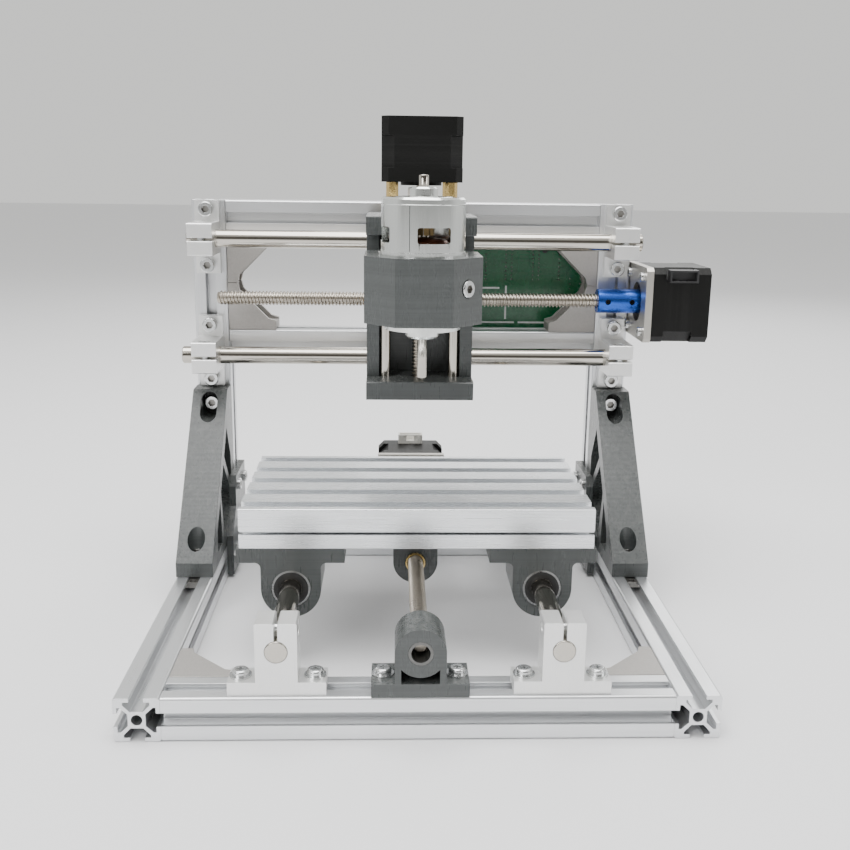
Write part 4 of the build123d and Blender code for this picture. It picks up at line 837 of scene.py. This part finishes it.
padRows = []
for column in (31.5, 44.0, 47.7, 60.8, 64.5, 77.2):
    padRows += [(column, 57.5 + (step - 4.5) * boardPlan["pitch"]) for step in range(10)]
for side in (-7.62, 7.62):
    padRows += [(16.5 + side, 14 + step * boardPlan["pitch"]) for step in range(15)]
padRows += [(26 + step * boardPlan["pitch"], 78) for step in range(20)]
padRows += [(x, z) for x in (84.4, 90.7) for z in (37, 40.3, 43.5, 46.6)]
padRows += [(92, 16 + step * 4.4) for step in range(4)]
padRows += [(42 + step * 6.0, 30 + (step % 3) * 2.2) for step in range(7)]


def addHoleShade(bm, matrix, radius, segments):
    # A dark disc of painted shade that reads as a drilled hole
    proud = boardPlan["proud"] * mm
    addLathe(bm, matrix, [(0, radius), (proud, radius), (proud, 0)], segments)


def addStrip(bm, corner, opposite, proud):
    first, second = boardPoint(*corner), boardPoint(*opposite)
    addBlock(bm, (first.x, boardFront - proud, first.z), (second.x, boardFront, second.z))


def buildBoardSide():
    random.seed(7)
    joints, shadedHoles, traces, ink = bmesh.new(), bmesh.new(), bmesh.new(), bmesh.new()
    proud = boardPlan["proud"] * mm
    for index, (x, z) in enumerate(padRows):
        spot = boardPoint(x, z)
        matrix = axisMatrix(spot, (0, -1, 0))
        if index % 5 == 4 and z > boardPlan["holeRow"]:
            addHoleShade(shadedHoles, matrix, boardPlan["pinHole"] * mm, 16)
            continue
        pad = boardPlan["pad"] * mm * random.uniform(0.9, 1.1)
        joint = boardPlan["joint"] * mm
        addLathe(joints, matrix, [(0, pad), (0.1 * joint, pad), (0.45 * joint, pad * 0.55),
                                  (0.9 * joint, pad * 0.38), (joint, 0)], 14)
    for x, z in screwHoles:
        addHoleShade(shadedHoles, axisMatrix(boardPoint(x, z), (0, -1, 0)), boardPlan["screwHole"] * mm, 24)
    for number in range(boardPlan["traces"]):
        x, z = random.choice(padRows)
        across = random.uniform(-boardPlan["reach"], boardPlan["reach"])
        rise = random.uniform(-boardPlan["climb"], boardPlan["climb"])
        half = boardPlan["trace"] * random.choice((0.5, 0.5, 0.8, 1.4)) / 2
        endX = min(max(x + across, boardPlan["edge"]), boardPlan["right"])
        endZ = min(max(z + rise, boardPlan["edge"]), boardPlan["top"])
        addStrip(traces, (min(x, endX), z - half), (max(x, endX), z + half), proud / 2)
        addStrip(traces, (endX - half, min(z, endZ)), (endX + half, max(z, endZ)), proud / 2)
    line = boardPlan["ink"]
    for x, z, endX, endZ in inkBars:
        addStrip(ink, (x - line, z - line), (endX + line, endZ + line), proud)
    for body, name, material in ((joints, "boardSolder", "shadedSolder"), (shadedHoles, "boardHoleShade", "holeShade"),
                                 (traces, "boardTraces", "boardTrace"), (ink, "boardInk", "whiteInk")):
        pieceFrom(body, name, material, nodeBody["controller_board"])


buildBoardSide()
print("board side drawn")


# Floor, light and camera
stagePlan = {"floorColor": (0.86, 0.86, 0.87, 1), "floorSize": 14.0, "paleWall": (0.88, 0.88, 0.86, 1),
             "darkWall": (0.14, 0.135, 0.125, 1), "worldStrength": 1.02, "wallTop": 0.62, "wallSoft": 0.2,
             "bands": 8.0}


def buildFloor():
    bm = bmesh.new()
    half = stagePlan["floorSize"] / 2
    corners = [bm.verts.new((x * half, y * half, -0.0002)) for x, y in ((-1, -1), (1, -1), (1, 1), (-1, 1))]
    bm.faces.new(corners)
    mesh = bpy.data.meshes.new("floor")
    bm.to_mesh(mesh)
    bm.free()
    floor = bpy.data.objects.new("floor", mesh)
    bpy.context.scene.collection.objects.link(floor)
    material = bpy.data.materials.new("floorPaint")
    material.use_nodes = True
    shader = material.node_tree.nodes["Principled BSDF"]
    shader.inputs["Base Color"].default_value = stagePlan["floorColor"]
    shader.inputs["Roughness"].default_value = 0.75
    mesh.materials.append(material)


lampPlan = [
    {"name": "overhead", "place": (-0.10, -0.10, 1.2), "size": 1.0, "power": 20.0},
    {"name": "leftFront", "place": (-0.9, -1.2, 0.9), "size": 0.7, "power": 11.0},
    {"name": "rightFill", "place": (1.25, -0.5, 0.7), "size": 0.6, "power": 5.0},
    {"name": "behind", "place": (0.3, 1.2, 0.9), "size": 0.9, "power": 7.0},
]


def buildLamps():
    target = Vector((0, 0, 0.1))
    for plan in lampPlan:
        data = bpy.data.lights.new(plan["name"], "AREA")
        data.energy = plan["power"]
        data.size = plan["size"]
        lamp = bpy.data.objects.new(plan["name"], data)
        lamp.location = plan["place"]
        lamp.rotation_euler = (target - Vector(plan["place"])).to_track_quat("-Z", "Y").to_euler()
        bpy.context.scene.collection.objects.link(lamp)
    world = bpy.data.worlds.new("paleRoom")
    world.use_nodes = True
    background = world.node_tree.nodes["Background"]
    tree = world.node_tree
    split = tree.nodes.new("ShaderNodeSeparateXYZ")
    tree.links.new(tree.nodes.new("ShaderNodeTexCoord").outputs["Generated"], split.inputs[0])
    low = mathNode(tree, "MULTIPLY_ADD", split.outputs["Z"], -1 / stagePlan["wallSoft"],
                   stagePlan["wallTop"] / stagePlan["wallSoft"])
    bands = mathNode(tree, "SINE",
                     mathNode(tree, "MULTIPLY_ADD", split.outputs["X"], stagePlan["bands"], 0.6))
    front = mathNode(tree, "MULTIPLY_ADD", split.outputs["Y"], -2.0, mathNode(tree, "MULTIPLY", bands, 0.45))
    lowPart = mathNode(tree, "MINIMUM", mathNode(tree, "MAXIMUM", low, 0.0), 1.0)
    frontPart = mathNode(tree, "MINIMUM", mathNode(tree, "MAXIMUM", front, 0.0), 1.0)
    share = mathNode(tree, "MULTIPLY", lowPart, frontPart)
    wall = mixColor(tree, share, stagePlan["paleWall"], stagePlan["darkWall"])
    tree.links.new(wall, background.inputs["Color"])
    background.inputs["Strength"].default_value = stagePlan["worldStrength"]
    bpy.context.scene.world = world


cameraPlan = {"place": (-0.02977, -0.53774, 0.23626), "yaw": -0.0381, "pitch": 0.2367, "roll": -0.0135,
              "lens": 43.77, "shift": (-0.0044, -0.0022)}


def buildCamera():
    data = bpy.data.cameras.new("studioCamera")
    data.lens = cameraPlan["lens"]
    data.sensor_width = 36.0
    data.shift_x, data.shift_y = cameraPlan["shift"]
    data.clip_start = 0.01
    camera = bpy.data.objects.new("studioCamera", data)
    turn = (Matrix.Rotation(cameraPlan["yaw"], 3, "Z") @ Matrix.Rotation(-cameraPlan["pitch"], 3, "X")
            @ Matrix.Rotation(cameraPlan["roll"], 3, "Y"))
    right, ahead, upward = turn.col[0], turn.col[1], turn.col[2]
    facing = Matrix((right, upward, -ahead)).transposed().to_4x4()
    camera.matrix_world = Matrix.Translation(cameraPlan["place"]) @ facing
    bpy.context.scene.collection.objects.link(camera)
    bpy.context.scene.camera = camera


buildFloor()
buildLamps()
buildCamera()
print("stage, lamps and camera set")
